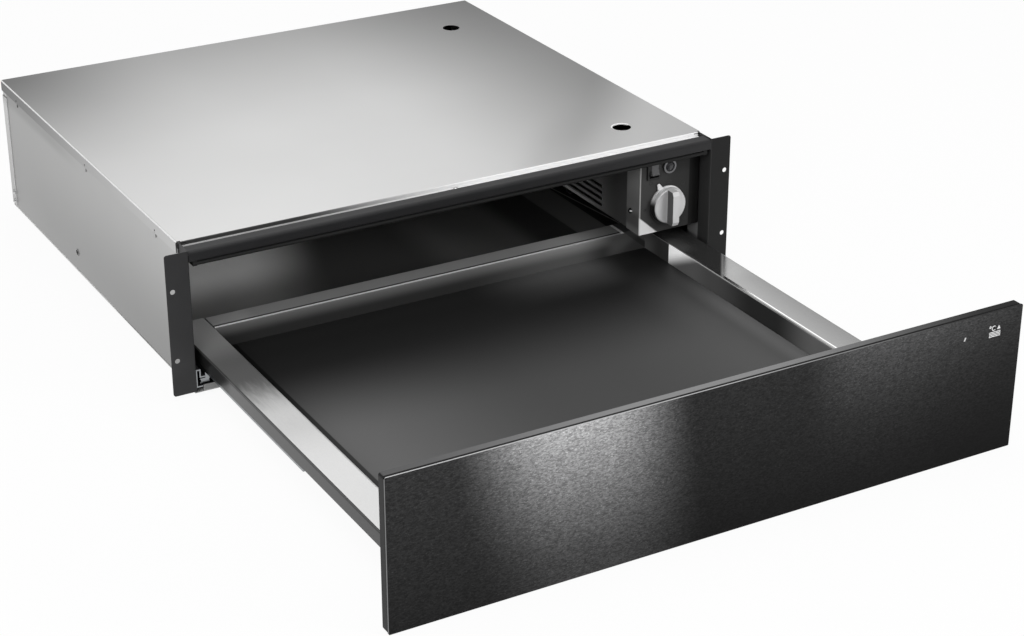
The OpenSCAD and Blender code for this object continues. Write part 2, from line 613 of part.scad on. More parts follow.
module fan_motor() color([0.12, 0.12, 0.13]) difference() {
  union() {
    rod_x(fan_mid, scroll_z, 21, scroll_x1, scroll_x1 + 20);
    rod_x(fan_mid, scroll_z, 7, scroll_x1 + 19, scroll_x1 + 24);
    for (a = [45, 225]) translate([scroll_x1, fan_mid, scroll_z]) rotate([a, 0, 0]) block([0, -3.5, 20], [1.4, 3.5, 29]);
  }
  rod_x(fan_mid, scroll_z, 1.5 + run_gap, scroll_x1 - 1, scroll_x1 + 19);
}
module heater_duct() color([0.7, 0.7, 0.68]) difference() {
  block([scroll_x0, duct_y0, duct_z0], [scroll_x1, duct_y1, duct_z0 + duct_h]);
  block([scroll_x0 - 1, duct_y0 + scroll_t, duct_z0 + scroll_t], [scroll_x1 - scroll_t, duct_y1 + 1,
    duct_z0 + duct_h - scroll_t]);
  for (z = element_z) rod_y(scroll_x1 - 10, z, tube_r + 0.2, duct_y0 - 1, duct_y0 + 3);
}
element_z = [duct_z0 + 7.5, duct_z0 + duct_h - 7.5];
module heating_element() color([0.35, 0.33, 0.32]) {
  for (z = element_z) rod_y(scroll_x1 - 10, z, tube_r, duct_y0 - tube_out, duct_y1 - tube_in);
  translate([scroll_x1 - 10, duct_y1 - tube_in, duct_z0 + duct_h / 2]) rotate([0, -90, 0])
    rotate_extrude(angle = 180) translate([(element_z[1] - element_z[0]) / 2, 0]) circle(tube_r, $fn = 24);
  for (z = element_z) block([scroll_x1 - 10.4, duct_y0 - tube_out - 6, z - 2], [scroll_x1 - 9.6, duct_y0 - tube_out + 1, z + 2]);
}
module element_clips() color([0.66, 0.66, 0.65]) for (y = [duct_y0 + 25, duct_y1 - tube_in - 10]) difference() {
  block([scroll_x1 - 14, y, duct_z0 + scroll_t], [scroll_x1 - scroll_t, y + 6, duct_z0 + duct_h - scroll_t]);
  block([scroll_x1 - 15, y + 1, duct_z0 + scroll_t - 1], [scroll_x1 - 4, y + 7, duct_z0 + duct_h]);
  for (z = element_z) rod_y(scroll_x1 - 10, z, tube_r + 0.1, y - 1, y + 9);
}
cutout_z = duct_z0 + duct_h;
cutout_y = duct_y0 + 60;
module safety_cutout() color([0.15, 0.13, 0.12]) {
  rod_z(scroll_x0 + 17, cutout_y, 11, cutout_z, cutout_z + 1);
  rod_z(scroll_x0 + 17, cutout_y, 8, cutout_z + 1, cutout_z + 9);
  for (s = [-1, 1]) block([scroll_x0 + 14, cutout_y + s * 5 - 0.4, cutout_z + 9],
    [scroll_x0 + 20, cutout_y + s * 5 + 0.4, cutout_z + 16]);
}
block_x = bay_x + 16;
block_y = y_r - 62;
module terminal_block() color([0.85, 0.84, 0.8]) difference() {
  union() {
    block([block_x, block_y, bay_z + sheet], [block_x + 33, block_y + 16, bay_z + sheet + 5]);
    for (i = [0:2]) block([block_x + 1 + 11 * i, block_y, bay_z + sheet + 4], [block_x + 10 + 11 * i, block_y + 16,
      bay_z + sheet + 16]);
  }
  for (i = [0:2]) rod_z(block_x + 5.5 + 11 * i, block_y + 8, 2.4, bay_z + sheet + 12, bay_z + sheet + 17);
}
module cable_gland() color([0.08, 0.08, 0.08]) difference() {
  union() {
    rod_y(gland_x, gland_z, gland_r - shank_gap, y_r - 8, y_r + 2);
    rod_y(gland_x, gland_z, gland_r + 3, y_r, y_r + 3);
    translate([gland_x, y_r - sheet, gland_z]) rotate([90, 0, 0]) cylinder(r = gland_r + 3.5, h = 5, $fn = 6);
  }
  rod_y(gland_x, gland_z, 3.6, y_r - 9, y_r + 4);
}

// Runners, drawn for the left side. u runs inwards from the frame's return, z is a height
function u(v) = v - x_ret;
ball_r = ball_d / 2;
lower_u = [runner_t + ball_gap + ball_r, outer_w - runner_t - ball_gap - ball_r];
base_z = runner_z + runner_t + base_gap;
lower_z = base_z + base_h / 2;
shelf_z = runner_z + outer_h - outer_drop;
deck_z = shelf_z + runner_t + deck_gap;
deck_u = rail_off + 0.1;
wall_u = [deck_u + deck_in, deck_u + deck_w - runner_t];
upper_u = [wall_u[0] + runner_t + ball_gap + ball_r, wall_u[1] - ball_gap - ball_r];
upper_z = deck_z + runner_t + ball_up;
inner_mid = (upper_u[0] + upper_u[1]) / 2;
rail_under = rail_z - rail_t;
module runner_outer() color([0.7, 0.71, 0.72]) along_y(outer_y0, outer_y0 + outer_l) {
  translate([u(0), runner_z]) square([outer_w, runner_t]);
  translate([u(0), runner_z]) square([runner_t, outer_h]);
  translate([u(0), runner_z + outer_h - runner_t]) square([outer_fold, runner_t]);
  translate([u(outer_fold - runner_t), shelf_z]) square([runner_t, outer_drop]);
  translate([u(outer_fold - runner_t), shelf_z]) square([outer_shelf - outer_fold + runner_t, runner_t]);
  translate([u(outer_w - runner_t), runner_z]) square([runner_t, outer_lip]);
}
module runner_middle() color([0.66, 0.67, 0.68]) {
  along_y(base_y0, middle_y0 + middle_l) difference() {
    union() {
      translate([u(lower_u[0] + 1.1), base_z]) square([lower_u[1] - lower_u[0] - 2.2, base_h]);
      translate([u(lower_u[1] - 2.1 - stem_w), base_z + 1]) square([stem_w, deck_z - base_z]);
    }
    for (v = lower_u) translate([u(v), lower_z]) circle(groove_r);
  }
  along_y(middle_y0, middle_y0 + middle_l) {
    translate([u(deck_u), deck_z]) square([deck_w, runner_t]);
    translate([u(deck_u), deck_z]) square([runner_t, deck_lip]);
    for (v = wall_u) translate([u(v), deck_z]) square([runner_t, deck_wall]);
  }
}
module runner_inner() color([0.7, 0.71, 0.72]) along_y(inner_y0, inner_y0 + inner_l) difference() {
  union() {
    translate([u(inner_mid - inner_w / 2), rail_under - runner_t]) square([inner_w, runner_t]);
    translate([u(upper_u[0] + 1.3), upper_z - 2.5]) square([upper_u[1] - upper_u[0] - 2.6,
      rail_under - upper_z + 2.4]);
  }
  for (v = upper_u) translate([u(v), upper_z]) circle(groove_r);
}
module cage(us, z, z0, z1, y0, l) color([0.25, 0.27, 0.25]) difference() {
  along_y(y0, y0 + l) {
    translate([u(us[0] - 0.4), z0]) square([us[1] - us[0] + 0.8, 0.5]);
    for (v = us) translate([u(v - 0.4), z0]) square([0.8, z1 - z0]);
  }
  for (i = [0:ball_rows(l) - 1]) rod_x(y0 + 6 + i * ball_pitch, z, ball_r + 0.05, u(-3), u(30));
}
module balls(us, z, y0, l) color([0.85, 0.85, 0.86]) for (i = [0:ball_rows(l) - 1]) for (v = us)
  translate([u(v), y0 + 6 + i * ball_pitch, z]) sphere(r = ball_r, $fn = 24);
module lower_cage() cage(lower_u, lower_z, runner_z + runner_t + 0.4, lower_z + 2.6, lower_y0, lower_cage_l);
module upper_cage() cage(upper_u, upper_z, deck_z + runner_t + 0.4, upper_z + 2.6, upper_y0, upper_cage_l);
module brackets() color([0.6, 0.6, 0.6]) for (y = bracket_y)
  along_x(u(6), u(outer_w)) polygon(folded([[y + 19, sheet + 1], [y + 11, sheet + 1, 0.3],
    [y + 11, runner_z, 0.3], [y - 11, runner_z, 0.3], [y - 11, sheet + 1, 0.3], [y - 19, sheet + 1]], 1));
module left_runner_brackets() brackets();
module right_runner_brackets() mirror([1, 0, 0]) brackets();
module left_runner_outer() runner_outer();
module right_runner_outer() mirror([1, 0, 0]) runner_outer();
module left_runner_middle() translate([0, -travel / 2, 0]) runner_middle();
module right_runner_middle() mirror([1, 0, 0]) left_runner_middle();
module left_runner_inner() translate([0, -travel, 0]) runner_inner();
module right_runner_inner() mirror([1, 0, 0]) left_runner_inner();
module left_lower_cage() translate([0, -travel / 4, 0]) lower_cage();
module right_lower_cage() mirror([1, 0, 0]) left_lower_cage();
module left_upper_cage() translate([0, -travel * 3 / 4, 0]) upper_cage();
module right_upper_cage() mirror([1, 0, 0]) left_upper_cage();
module left_lower_balls() translate([0, -travel / 4, 0]) balls(lower_u, lower_z, lower_y0, lower_cage_l);
module right_lower_balls() mirror([1, 0, 0]) left_lower_balls();
module left_upper_balls() translate([0, -travel * 3 / 4, 0]) balls(upper_u, upper_z, upper_y0, upper_cage_l);
module right_upper_balls() mirror([1, 0, 0]) left_upper_balls();

// Drawer, drawn closed and moved out by its travel
module side_rail() color([0.74, 0.74, 0.73]) translate([0, -travel, 0]) along_y(rail_y0, rail_y1)
  polygon(folded([[-basin_x + rail_foot, floor_z], [-basin_x, floor_z, 0.6], [-basin_x, rail_z, 2],
    [-rail_x, rail_z, 0.6], [-rail_x, rail_z - skirt_h]], rail_t));
module left_rail() side_rail();
module right_rail() mirror([1, 0, 0]) side_rail();
// The feet that carry the floor stop short of the side rails' feet
module foot_notches(y) both_sides() block([basin_x - rail_foot - clear, y - rail_foot - 1, floor_z - rail_t - 1],
  [basin_x + 1, y + rail_foot + 1, floor_z + 0.5]);
module rear_rail() color([0.74, 0.74, 0.73]) translate([0, -travel, 0]) difference() {
  along_x(-basin_x, basin_x) polygon(folded([[rail_y1, rail_z - skirt_h - 4], [rail_y1, rail_z, 0.6],
    [basin_y1, rail_z, 2], [basin_y1, floor_z, 0.6], [basin_y1 - rail_foot, floor_z]], rail_t));
  foot_notches(basin_y1);
}
module front_rail() color([0.7, 0.7, 0.69]) translate([0, -travel, 0]) difference() {
  union() {
    along_x(-basin_x, basin_x) polygon(folded([[basin_y0 + rail_foot, floor_z], [basin_y0, floor_z, 0.6],
      [basin_y0, rail_z, 2], [rail_y0, rail_z, 0.6], [rail_y0, rail_z + front_rail_up]], rail_t));
    block([-rail_x, panel_y, rail_z - skirt_h], [rail_x, rail_y0, rail_z + front_rail_up]);
  }
  foot_notches(basin_y0);
  for (x = panel_screw_x) rod_y(x, panel_screw_z, 2 + shank_gap, panel_y - 1, panel_y + 3);
}
module basin_floor() color([0.7, 0.7, 0.69]) translate([0, -travel, 0])
  block([-basin_x + mat_gap, basin_y0 + mat_gap, floor_z], [basin_x - mat_gap, basin_y1 - mat_gap, floor_z + rail_t]);
module floor_mat() color([0.2, 0.2, 0.21]) translate([0, -travel, floor_z + rail_t]) linear_extrude(mat_t)
  round_rect(-basin_x + mat_gap, basin_y0 + mat_gap, basin_x - mat_gap, basin_y1 - mat_gap, 3);
module front_skin() color([0.1, 0.1, 0.11]) translate([0, -travel, 0]) difference() {
  intersection() {
    translate([0, 0, -front_drop]) linear_extrude(front_h) polygon([[-front_w / 2 + skin_bevel, front_y],
      [front_w / 2 - skin_bevel, front_y], [front_w / 2, front_y + skin_bevel], [front_w / 2, front_y + skin_t],
      [-front_w / 2, front_y + skin_t], [-front_w / 2, front_y + skin_bevel]]);
    along_x(-front_w / 2, front_w / 2) polygon([[front_y, -front_drop + skin_bevel], [front_y, front_z1 - skin_bevel],
      [front_y + skin_bevel, front_z1], [front_y + skin_t, front_z1], [front_y + skin_t, -front_drop],
      [front_y + skin_bevel, -front_drop]]);
    along_y(front_y, front_y + skin_t) round_rect(-front_w / 2, -front_drop, front_w / 2, front_z1, skin_r);
  }
  along_y(front_y - 1, front_y + skin_t + 1) window(0.1);
}
module window(g) translate([guide_x, guide_z]) rotate(-guide_lean)
  translate([-0.8 - g, -1.7 - g]) square([1.6 + 2 * g, 3.4 + 2 * g]);
module light_guide() color([0.9, 0.9, 0.9]) translate([0, -travel, 0]) {
  along_y(front_y - 0.15, front_y + skin_t + 0.6) window(0);
  rod_y(guide_x, guide_z, 3.4, front_y + skin_t, panel_y - panel_back_t);
  rod_y(guide_x, guide_z, 2.2, panel_y - panel_back_t - 0.5, panel_y);
}
module panel_frame() color([0.03, 0.03, 0.03]) translate([0, -travel, 0]) difference() {
  union() {
    along_y(front_y + skin_t, front_y + skin_t + 1.3)
      round_rect(-front_w / 2 + 1.6, -front_drop + 1.6, front_w / 2 - 1.6, front_z1 - 1.6, skin_r);
    along_y(front_y + skin_t + 1, panel_y - panel_back_t)
      round_rect(-front_w / 2 + 0.3, -front_drop + 0.3, front_w / 2 - 0.3, front_z1 - 0.3, skin_r);
  }
  along_y(front_y, panel_y) round_rect(-front_w / 2 + panel_frame_w, -front_drop + panel_frame_w,
    front_w / 2 - panel_frame_w, front_z1 - panel_frame_w, 4);
}
module panel_back() color([0.3, 0.3, 0.3]) translate([0, -travel, 0]) difference() {
  along_y(panel_y - panel_back_t, panel_y)
    round_rect(-front_w / 2 + 2, -front_drop + 2, front_w / 2 - 2, front_z1 - 2, skin_r);
  rod_y(guide_x, guide_z, 2.3, panel_y - 3, panel_y + 1);
  for (x = panel_screw_x) rod_y(x, panel_screw_z, 2 + shank_gap, panel_y - 3, panel_y + 1);
}
module panel_screws() color([0.65, 0.65, 0.66]) for (x = panel_screw_x)
  translate([x, rail_y0 - travel, panel_screw_z]) rotate([-90, 0, 0]) screw(3.4, 2.1, 2, 5);
module striker_plate() color([0.6, 0.6, 0.62]) translate([0, -travel, 0])
  block([-14, rail_y1, latch_mid - 7], [14, striker_y, rail_z - 4]);

// Latch and screws
latch_mid = rail_z - skirt_h + 1.5;
module latch_body() color([0.1, 0.1, 0.11]) difference() {
  union() {
    block([-latch_w / 2, latch_y, sheet], [latch_w / 2, y_r - 2 * sheet, latch_h + sheet]);
    block([-latch_w / 2 - 8, latch_y - 2, sheet], [latch_w / 2 + 8, y_r - 2 * sheet - 1, sheet + 2]);
  }
  rod_y(0, latch_mid, plunger_d / 2 + run_gap, latch_y - 3, y_r - 2 * sheet - 1);
}
module latch_plunger() color([0.8, 0.8, 0.78])
  rod_y(0, latch_mid, plunger_d / 2, plunger_y, y_r - 2 * sheet - 1 - plunger_stroke - 0.4);
module case_screws() color([0.75, 0.75, 0.76]) {
  for (z = rear_screw_z) both_sides() translate([w2, y_r - 9.5, z]) rotate([0, 90, 0]) screw(screw_r, screw_h, shank_r, 4);
  for (x = rear_screw_x) translate([x, y_r, 6]) rotate([-90, 0, 0]) screw(screw_r, screw_h, shank_r, 4);
  translate([0, y_f - 3.6, ledge_z]) screw(screw_r, screw_h, shank_r, 4);
}
module fascia_screw() color([0.7, 0.7, 0.7]) translate([bay_x, fascia_y + fascia_screw_y, fascia_screw_z]) rotate([0, -90, 0])
  screw(screw_r, screw_h, shank_r, 5);

top_cover();
left_side_panel();
right_side_panel();
rear_panel();
base_plate();
left_flange();
right_flange();
front_beam();
door_seal();
cavity_wall();
control_fascia();
switch_body();
rocker();
lamp_body();
lamp_lens();
regulator();
temperature_knob();
knob_shaft();
fan_scroll();
fan_motor();
fan_impeller();
fan_shaft();
heater_duct();
heating_element();
element_clips();
safety_cutout();
terminal_block();
cable_gland();
left_runner_brackets();
right_runner_brackets();
left_runner_outer();
right_runner_outer();
left_runner_middle();
right_runner_middle();
left_runner_inner();
right_runner_inner();
left_lower_cage();
right_lower_cage();
left_upper_cage();
right_upper_cage();
left_lower_balls();
right_lower_balls();
left_upper_balls();
right_upper_balls();
front_skin();
light_guide();
panel_frame();
panel_back();
panel_screws();
left_rail();
right_rail();
rear_rail();
front_rail();
basin_floor();
floor_mat();
striker_plate();
latch_body();
latch_plunger();
case_screws();
fascia_screw();
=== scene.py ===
# Built in warming drawer, pulled out: finishes, printed marks, small fittings, floor, lamps and camera
import math

import bmesh
import bpy
from mathutils import Matrix, Vector


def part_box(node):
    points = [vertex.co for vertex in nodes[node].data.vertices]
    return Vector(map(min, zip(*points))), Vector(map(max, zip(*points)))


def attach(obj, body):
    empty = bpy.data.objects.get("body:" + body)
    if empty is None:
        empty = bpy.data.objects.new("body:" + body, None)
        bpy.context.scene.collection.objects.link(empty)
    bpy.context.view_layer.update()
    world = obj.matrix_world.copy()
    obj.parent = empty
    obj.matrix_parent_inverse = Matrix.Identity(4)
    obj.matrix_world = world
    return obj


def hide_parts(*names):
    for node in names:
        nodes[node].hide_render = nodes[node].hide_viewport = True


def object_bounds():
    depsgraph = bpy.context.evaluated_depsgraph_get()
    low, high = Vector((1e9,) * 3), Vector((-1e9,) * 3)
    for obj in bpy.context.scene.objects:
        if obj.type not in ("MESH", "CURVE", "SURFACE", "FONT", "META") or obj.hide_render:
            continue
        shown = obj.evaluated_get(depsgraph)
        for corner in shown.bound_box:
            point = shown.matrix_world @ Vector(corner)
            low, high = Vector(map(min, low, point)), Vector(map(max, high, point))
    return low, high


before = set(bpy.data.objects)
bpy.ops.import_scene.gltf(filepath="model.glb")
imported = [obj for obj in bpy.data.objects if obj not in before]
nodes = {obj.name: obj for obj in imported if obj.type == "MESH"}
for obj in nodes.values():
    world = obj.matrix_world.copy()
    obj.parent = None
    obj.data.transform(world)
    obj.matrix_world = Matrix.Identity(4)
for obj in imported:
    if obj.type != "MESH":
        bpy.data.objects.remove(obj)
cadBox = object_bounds()
print("frame loaded:", len(nodes), "nodes")


class Wire:
    # wraps one output socket, so that a tree reads as sums
    def __init__(self, tree, socket=None):
        self.tree = tree
        self.socket = socket

    def node(self, kind, settings=None, inputs=None, out=0):
        made = self.tree.nodes.new(kind)
        for name, value in (settings or {}).items():
            setattr(made, name, value)
        for name, value in (inputs or {}).items():
            many = value if isinstance(value, list) else [value]
            for one in many:
                if isinstance(one, Wire):
                    self.tree.links.new(one.socket, made.inputs[name])
                else:
                    made.inputs[name].default_value = one
        return Wire(self.tree, made.outputs[out])

    def sum(self, operation, other=0.0, flipped=False):
        pair = (other, self) if flipped else (self, other)
        return self.node("ShaderNodeMath", {"operation": operation}, {0: pair[0], 1: pair[1]})

    def __add__(self, other):
        return self.sum("ADD", other)

    def __radd__(self, other):
        return self.sum("ADD", other, True)

    def __sub__(self, other):
        return self.sum("SUBTRACT", other)

    def __rsub__(self, other):
        return self.sum("SUBTRACT", other, True)

    def __mul__(self, other):
        return self.sum("MULTIPLY", other)

    def __rmul__(self, other):
        return self.sum("MULTIPLY", other, True)

    def __truediv__(self, other):
        return self.sum("DIVIDE", other)

    def size(self):
        # the value without its sign
        return self.sum("ABSOLUTE")

    def between(self, low, high, start=0.0, end=1.0):
        # goes smoothly from start to end while the value goes from low to high
        return self.node("ShaderNodeMapRange", {"interpolation_type": "SMOOTHSTEP"},
                         {"Value": self, "From Min": low, "From Max": high, "To Min": start, "To Max": end})

    def hump(self, low, full, past, high):
        # 0, up to 1 between low and full, and down again between past and high
        return self.between(low, full) * self.between(past, high, 1.0, 0.0)

    def rise(self, low, high, power):
        # 0 up to 1 between low and high, slowly at first
        straight = self.node("ShaderNodeMapRange", {}, {"Value": self, "From Min": low, "From Max": high})
        return straight.sum("POWER", power)

    def mix(self, first, second):
        # a colour between two, by this mask
        return self.node("ShaderNodeMix", {"data_type": "RGBA"}, {0: self, 6: first, 7: second}, 2)


def blend(first, second, mask):
    # first where the mask is 0, second where it is 1
    return first * (1.0 - mask) + mask * second


def varied(level, noise, amount):
    # a level made lighter and darker by noise, which lies round a half
    return level * (1.0 + (noise - 0.5) * amount)


def grey(level):
    return (level, level, level, 1) if isinstance(level, (int, float)) else (*level[:3], 1)


def newFinish(name, base, roughness, metallic=0.0, **constants):
    material = bpy.data.materials.new(name)
    material.use_nodes = True
    shader = material.node_tree.nodes["Principled BSDF"]
    shader.inputs["Base Color"].default_value = grey(base)
    shader.inputs["Roughness"].default_value = roughness
    shader.inputs["Metallic"].default_value = metallic
    for socket, value in constants.items():
        shader.inputs[socket.replace("_", " ")].default_value = value
    wire = Wire(material.node_tree)
    place = wire.node("ShaderNodeTexCoord", out=3)
    split = wire.node("ShaderNodeSeparateXYZ", {}, {0: place}).socket.node
    return material, wire, shader, place, [Wire(wire.tree, split.outputs[i]) for i in range(3)]


def finishFrom(name, look, base, **constants):
    # a new finish with the plain constants of its look
    return newFinish(name, base, look["roughness"], look.get("metallic", 0.0),
                     Specular_IOR_Level=look["specular"], **constants)


def feed(wire, shader, **sockets):
    for socket, value in sockets.items():
        wire.tree.links.new(value.socket, shader.inputs[socket.replace("_", " ")])


def grain(wire, place, scale, detail=3.0, stretch=(1, 1, 1), roughness=0.6):
    if stretch != (1, 1, 1):
        place = wire.node("ShaderNodeMapping", {}, {"Vector": place, "Scale": stretch})
    return wire.node("ShaderNodeTexNoise", {}, {"Vector": place, "Scale": scale, "Detail": detail,
                                                "Roughness": roughness})


def tinted(wire, base, level):
    return wire.node("ShaderNodeVectorMath", {"operation": "SCALE"}, {0: grey(base)[:3], "Scale": level})


def relief(wire, height, strength, depth=0.0002):
    return wire.node("ShaderNodeBump", {}, {"Strength": strength, "Distance": depth, "Height": height})


def dress(material, *names):
    for name in names:
        mesh = nodes[name].data
        mesh.materials.clear()
        mesh.materials.append(material)


white = (1, 1, 1)
warmWhite = (1, 1, 0.995)
steelWhite = (1, 1, 0.99)
coolWhite = (1, 1, 1.01)


# In the finishes, places are metres along the frame's axes, and each look dict holds tones and strengths.

metalLook = {"cloudScale": 9.0, "cloud": 0.06, "roughVary": 0.06}


# sheet metal: fine grain, a cloudy tone, and where given painted light in broad changes of tone, and crisp
# painted highlights and shade
def sheetMetal(name, look, paintedLight=None, marks=None):
    material, wire, shader, place, axes = newFinish(name, look["tone"], look["roughness"], 1.0)
    lines = grain(wire, place, look["scale"], 2.0, look.get("stretch", (1, 1, 1)))
    cloud = grain(wire, place, metalLook["cloudScale"], 2.0)
    level = 1.0 + (lines - 0.5) * look["contrast"] + (cloud - 0.5) * look.get("cloud", metalLook["cloud"])
    if paintedLight:
        level = level * paintedLight(*axes)
    base = tinted(wire, look["tone"], level)
    if marks:
        plain = 1.0
        for mask, tone in marks(*axes):
            base = mask.mix(base, tinted(wire, white, tone))
            plain = plain * (1.0 - mask)
        feed(wire, shader, Metallic=plain)
    feed(wire, shader, Base_Color=base, Roughness=look["roughness"] + (lines - 0.5) * metalLook["roughVary"],
         Normal=relief(wire, lines, look["bump"]))
    return material


coverLook = {"tone": (0.63, 0.63, 0.627), "roughness": 0.30, "scale": 1300.0, "contrast": 0.05, "bump": 0.015,
             "rear": 0.56, "left": 0.62, "leftPower": 2.2, "right": 0.58, "slant": 0.8, "dip": 0.12,
             "side": 0.40, "sideRise": 0.8, "fold": 0.90, "front": 0.03, "frontRise": 0.88, "ledge": 0.42,
             "ledgeRise": 0.42, "rim": 0.95, "hole": (0.2135, -0.1938)}


def coverPaintedLight(x, y, z):
    # painted reflection: darker to the back and along the right side, where the dark runs out to the front
    # edge, with painted shade along a slanting dip and on the turned side edges
    look = coverLook
    rear = y.between(-0.06, 0.42) * look["rear"]
    left = x.between(-0.10, -0.30) * y.rise(-0.23, 0.23, look["leftPower"]) * look["left"]
    across = x - y * look["slant"] - 0.304
    right = x.between(0.02, 0.31) * across.between(0.0, 0.10, 1.0, 0.0) * look["right"]
    dip = across.hump(-0.06, -0.01, 0.01, 0.05) * y.between(-0.10, -0.20) * look["dip"]
    turned = x.size().between(0.2741, 0.2745) * (look["side"] + y * look["sideRise"])
    return (1.0 - rear) * (1.0 - left) * (1.0 - right) * (1.0 - dip) * (1.0 - turned)


def coverPaintedHighlights(x, y, z):
    # painted highlights on the fold along the side, on the step and ledge in front, and on the back edge of the
    # front hole
    look = coverLook
    holeX, holeY = look["hole"]
    fold = x.size().between(0.2736, 0.2740) * z.between(0.1379, 0.1384)
    across = x.between(-0.17, 0.05)
    front = y.between(-0.2412, -0.2418)
    ledge = z.between(0.1359, 0.1356)
    far = ((x - holeX) * (x - holeX) + (y - holeY) * (y - holeY)).sum("POWER", 0.5)
    rim = far.between(0.0113, 0.0107) * y.between(-0.1930, -0.1890) * x.between(0.15, 0.16)
    return [(fold, look["fold"]), (front, look["front"] + across * look["frontRise"]),
            (front * ledge, look["ledge"] + across * look["ledgeRise"]), (rim, look["rim"])]


sideLook = {"tone": (0.40, 0.40, 0.397), "roughness": 0.36, "scale": 1300.0, "contrast": 0.05, "bump": 0.015,
            "tilt": 10.8, "foot": 0.26, "topRear": 0.2, "lap": 0.30, "lapRise": 3.0, "notch": 0.01,
            "lapEdge": 0.95, "lapLine": 0.8}


def sidePaintedLight(x, y, z):
    # painted light and shade: lighter to the top at the front, to the foot at the back; the lap of the rear
    # panel is painted lighter
    look = sideLook
    tilt = (z - 0.065) * (0.03 - y) * look["tilt"]
    foot = 1.0 - z.between(0.125, 0.015) * look["foot"]
    top = 1.0 - z.between(0.112, 0.122) * y.between(0.0, 0.10) * look["topRear"]
    lap = y.between(0.2298, 0.2302) * (look["lap"] + z * look["lapRise"])
    return (1.0 + tilt) * foot * top * (1.0 + lap)


def sidePaintedShadeAndHighlight(x, y, z):
    # painted shade in the black notch at the front corner, painted highlight on the edge of the rear panel's
    # lap
    look = sideLook
    notch = y.between(-0.2398, -0.2402) * z.between(0.1325, 0.1335)
    lap = y.hump(0.2288, 0.2293, 0.2301, 0.2306) * x.size().between(0.2740, 0.2741) * z.between(0.125, 0.122)
    return [(notch, look["notch"]), (lap * look["lapLine"], look["lapEdge"])]


coverSteel = sheetMetal("coverSteel", coverLook, coverPaintedLight, coverPaintedHighlights)
caseSteel = sheetMetal("caseSteel", sideLook, sidePaintedLight, sidePaintedShadeAndHighlight)
zincPlate = sheetMetal("zincPlate", {"tone": (0.62, 0.63, 0.64), "roughness": 0.38, "scale": 220.0,
                                     "contrast": 0.16, "bump": 0.05, "cloud": 0.12})
# runners: the zinc plate again, painted darker for the shade they lie in
shadedRunnerZinc = sheetMetal("shadedRunnerZinc", {"tone": (0.30, 0.31, 0.32), "roughness": 0.34, "scale": 500.0,
                                       "stretch": (1, 0.05, 1), "contrast": 0.14, "bump": 0.03})
shaftSteel = sheetMetal("shaftSteel", {"tone": (0.66, 0.66, 0.66), "roughness": 0.26, "scale": 900.0,
                                       "stretch": (1, 0.2, 1), "contrast": 0.1, "bump": 0.03})
panelBackSteel = sheetMetal("panelBackSteel", {"tone": (0.20, 0.20, 0.20), "roughness": 0.45, "scale": 700.0,
                                               "stretch": (0.05, 1, 1), "contrast": 0.12, "bump": 0.03})
rimSteel = sheetMetal("rimSteel", {"tone": (0.60, 0.60, 0.595), "roughness": 0.3, "scale": 900.0,
                                   "contrast": 0.08, "bump": 0.02})


# left rail: painted reflection, bright in front and dull under the cover, with a streaky change between them;
# painted shade on its skirt and inner edge, and a painted highlight along the skirt's top
def leftRail():
    look = {"front": 0.68, "more": 0.09, "less": 0.625, "rear": 0.6, "skirt": 0.058, "skirtRise": 0.18,
            "skirtEnd": 0.3, "line": 0.07, "inner": 0.95, "waver": 0.03, "streaks": 0.14, "roughness": 0.3,
            "metallic": 0.3, "specular": 0.3, "bump": 0.012}
    material, wire, shader, place, (x, y, z) = finishFrom("leftRailSteel", look, look["front"])
    lines = grain(wire, place, 1500.0, 2.0, (1, 0.35, 1))
    drift = grain(wire, place, 300.0, 3.0, (1, 0.15, 1))
    along = y + (drift - 0.5) * look["waver"]
    level = look["front"] + along.between(-0.43, -0.395) * look["more"]
    level = level - along.between(-0.395, -0.32) * look["less"] + y.between(-0.29, -0.18) * look["rear"]
    skirt = x.between(-0.2616, -0.2621)
    line = x.hump(-0.2634, -0.2631, -0.2628, -0.2624) * z.between(0.0325, 0.0335)
    inner = x.between(-0.2333, -0.2329)
    # painted shade on the skirt, deeper at the back behind the frame, with a painted highlight line along its
    # top
    below = (look["skirt"] + (y + 0.46) * look["skirtRise"]) * y.between(-0.324, -0.309, 1.0, look["skirtEnd"])
    level = blend(varied(level, lines, look["streaks"]), below + line * look["line"], skirt)
    # painted shade along the inner edge
    level = level * (1.0 - inner * look["inner"])
    feed(wire, shader, Base_Color=tinted(wire, warmWhite, level), Normal=relief(wire, lines, look["bump"]))
    return material
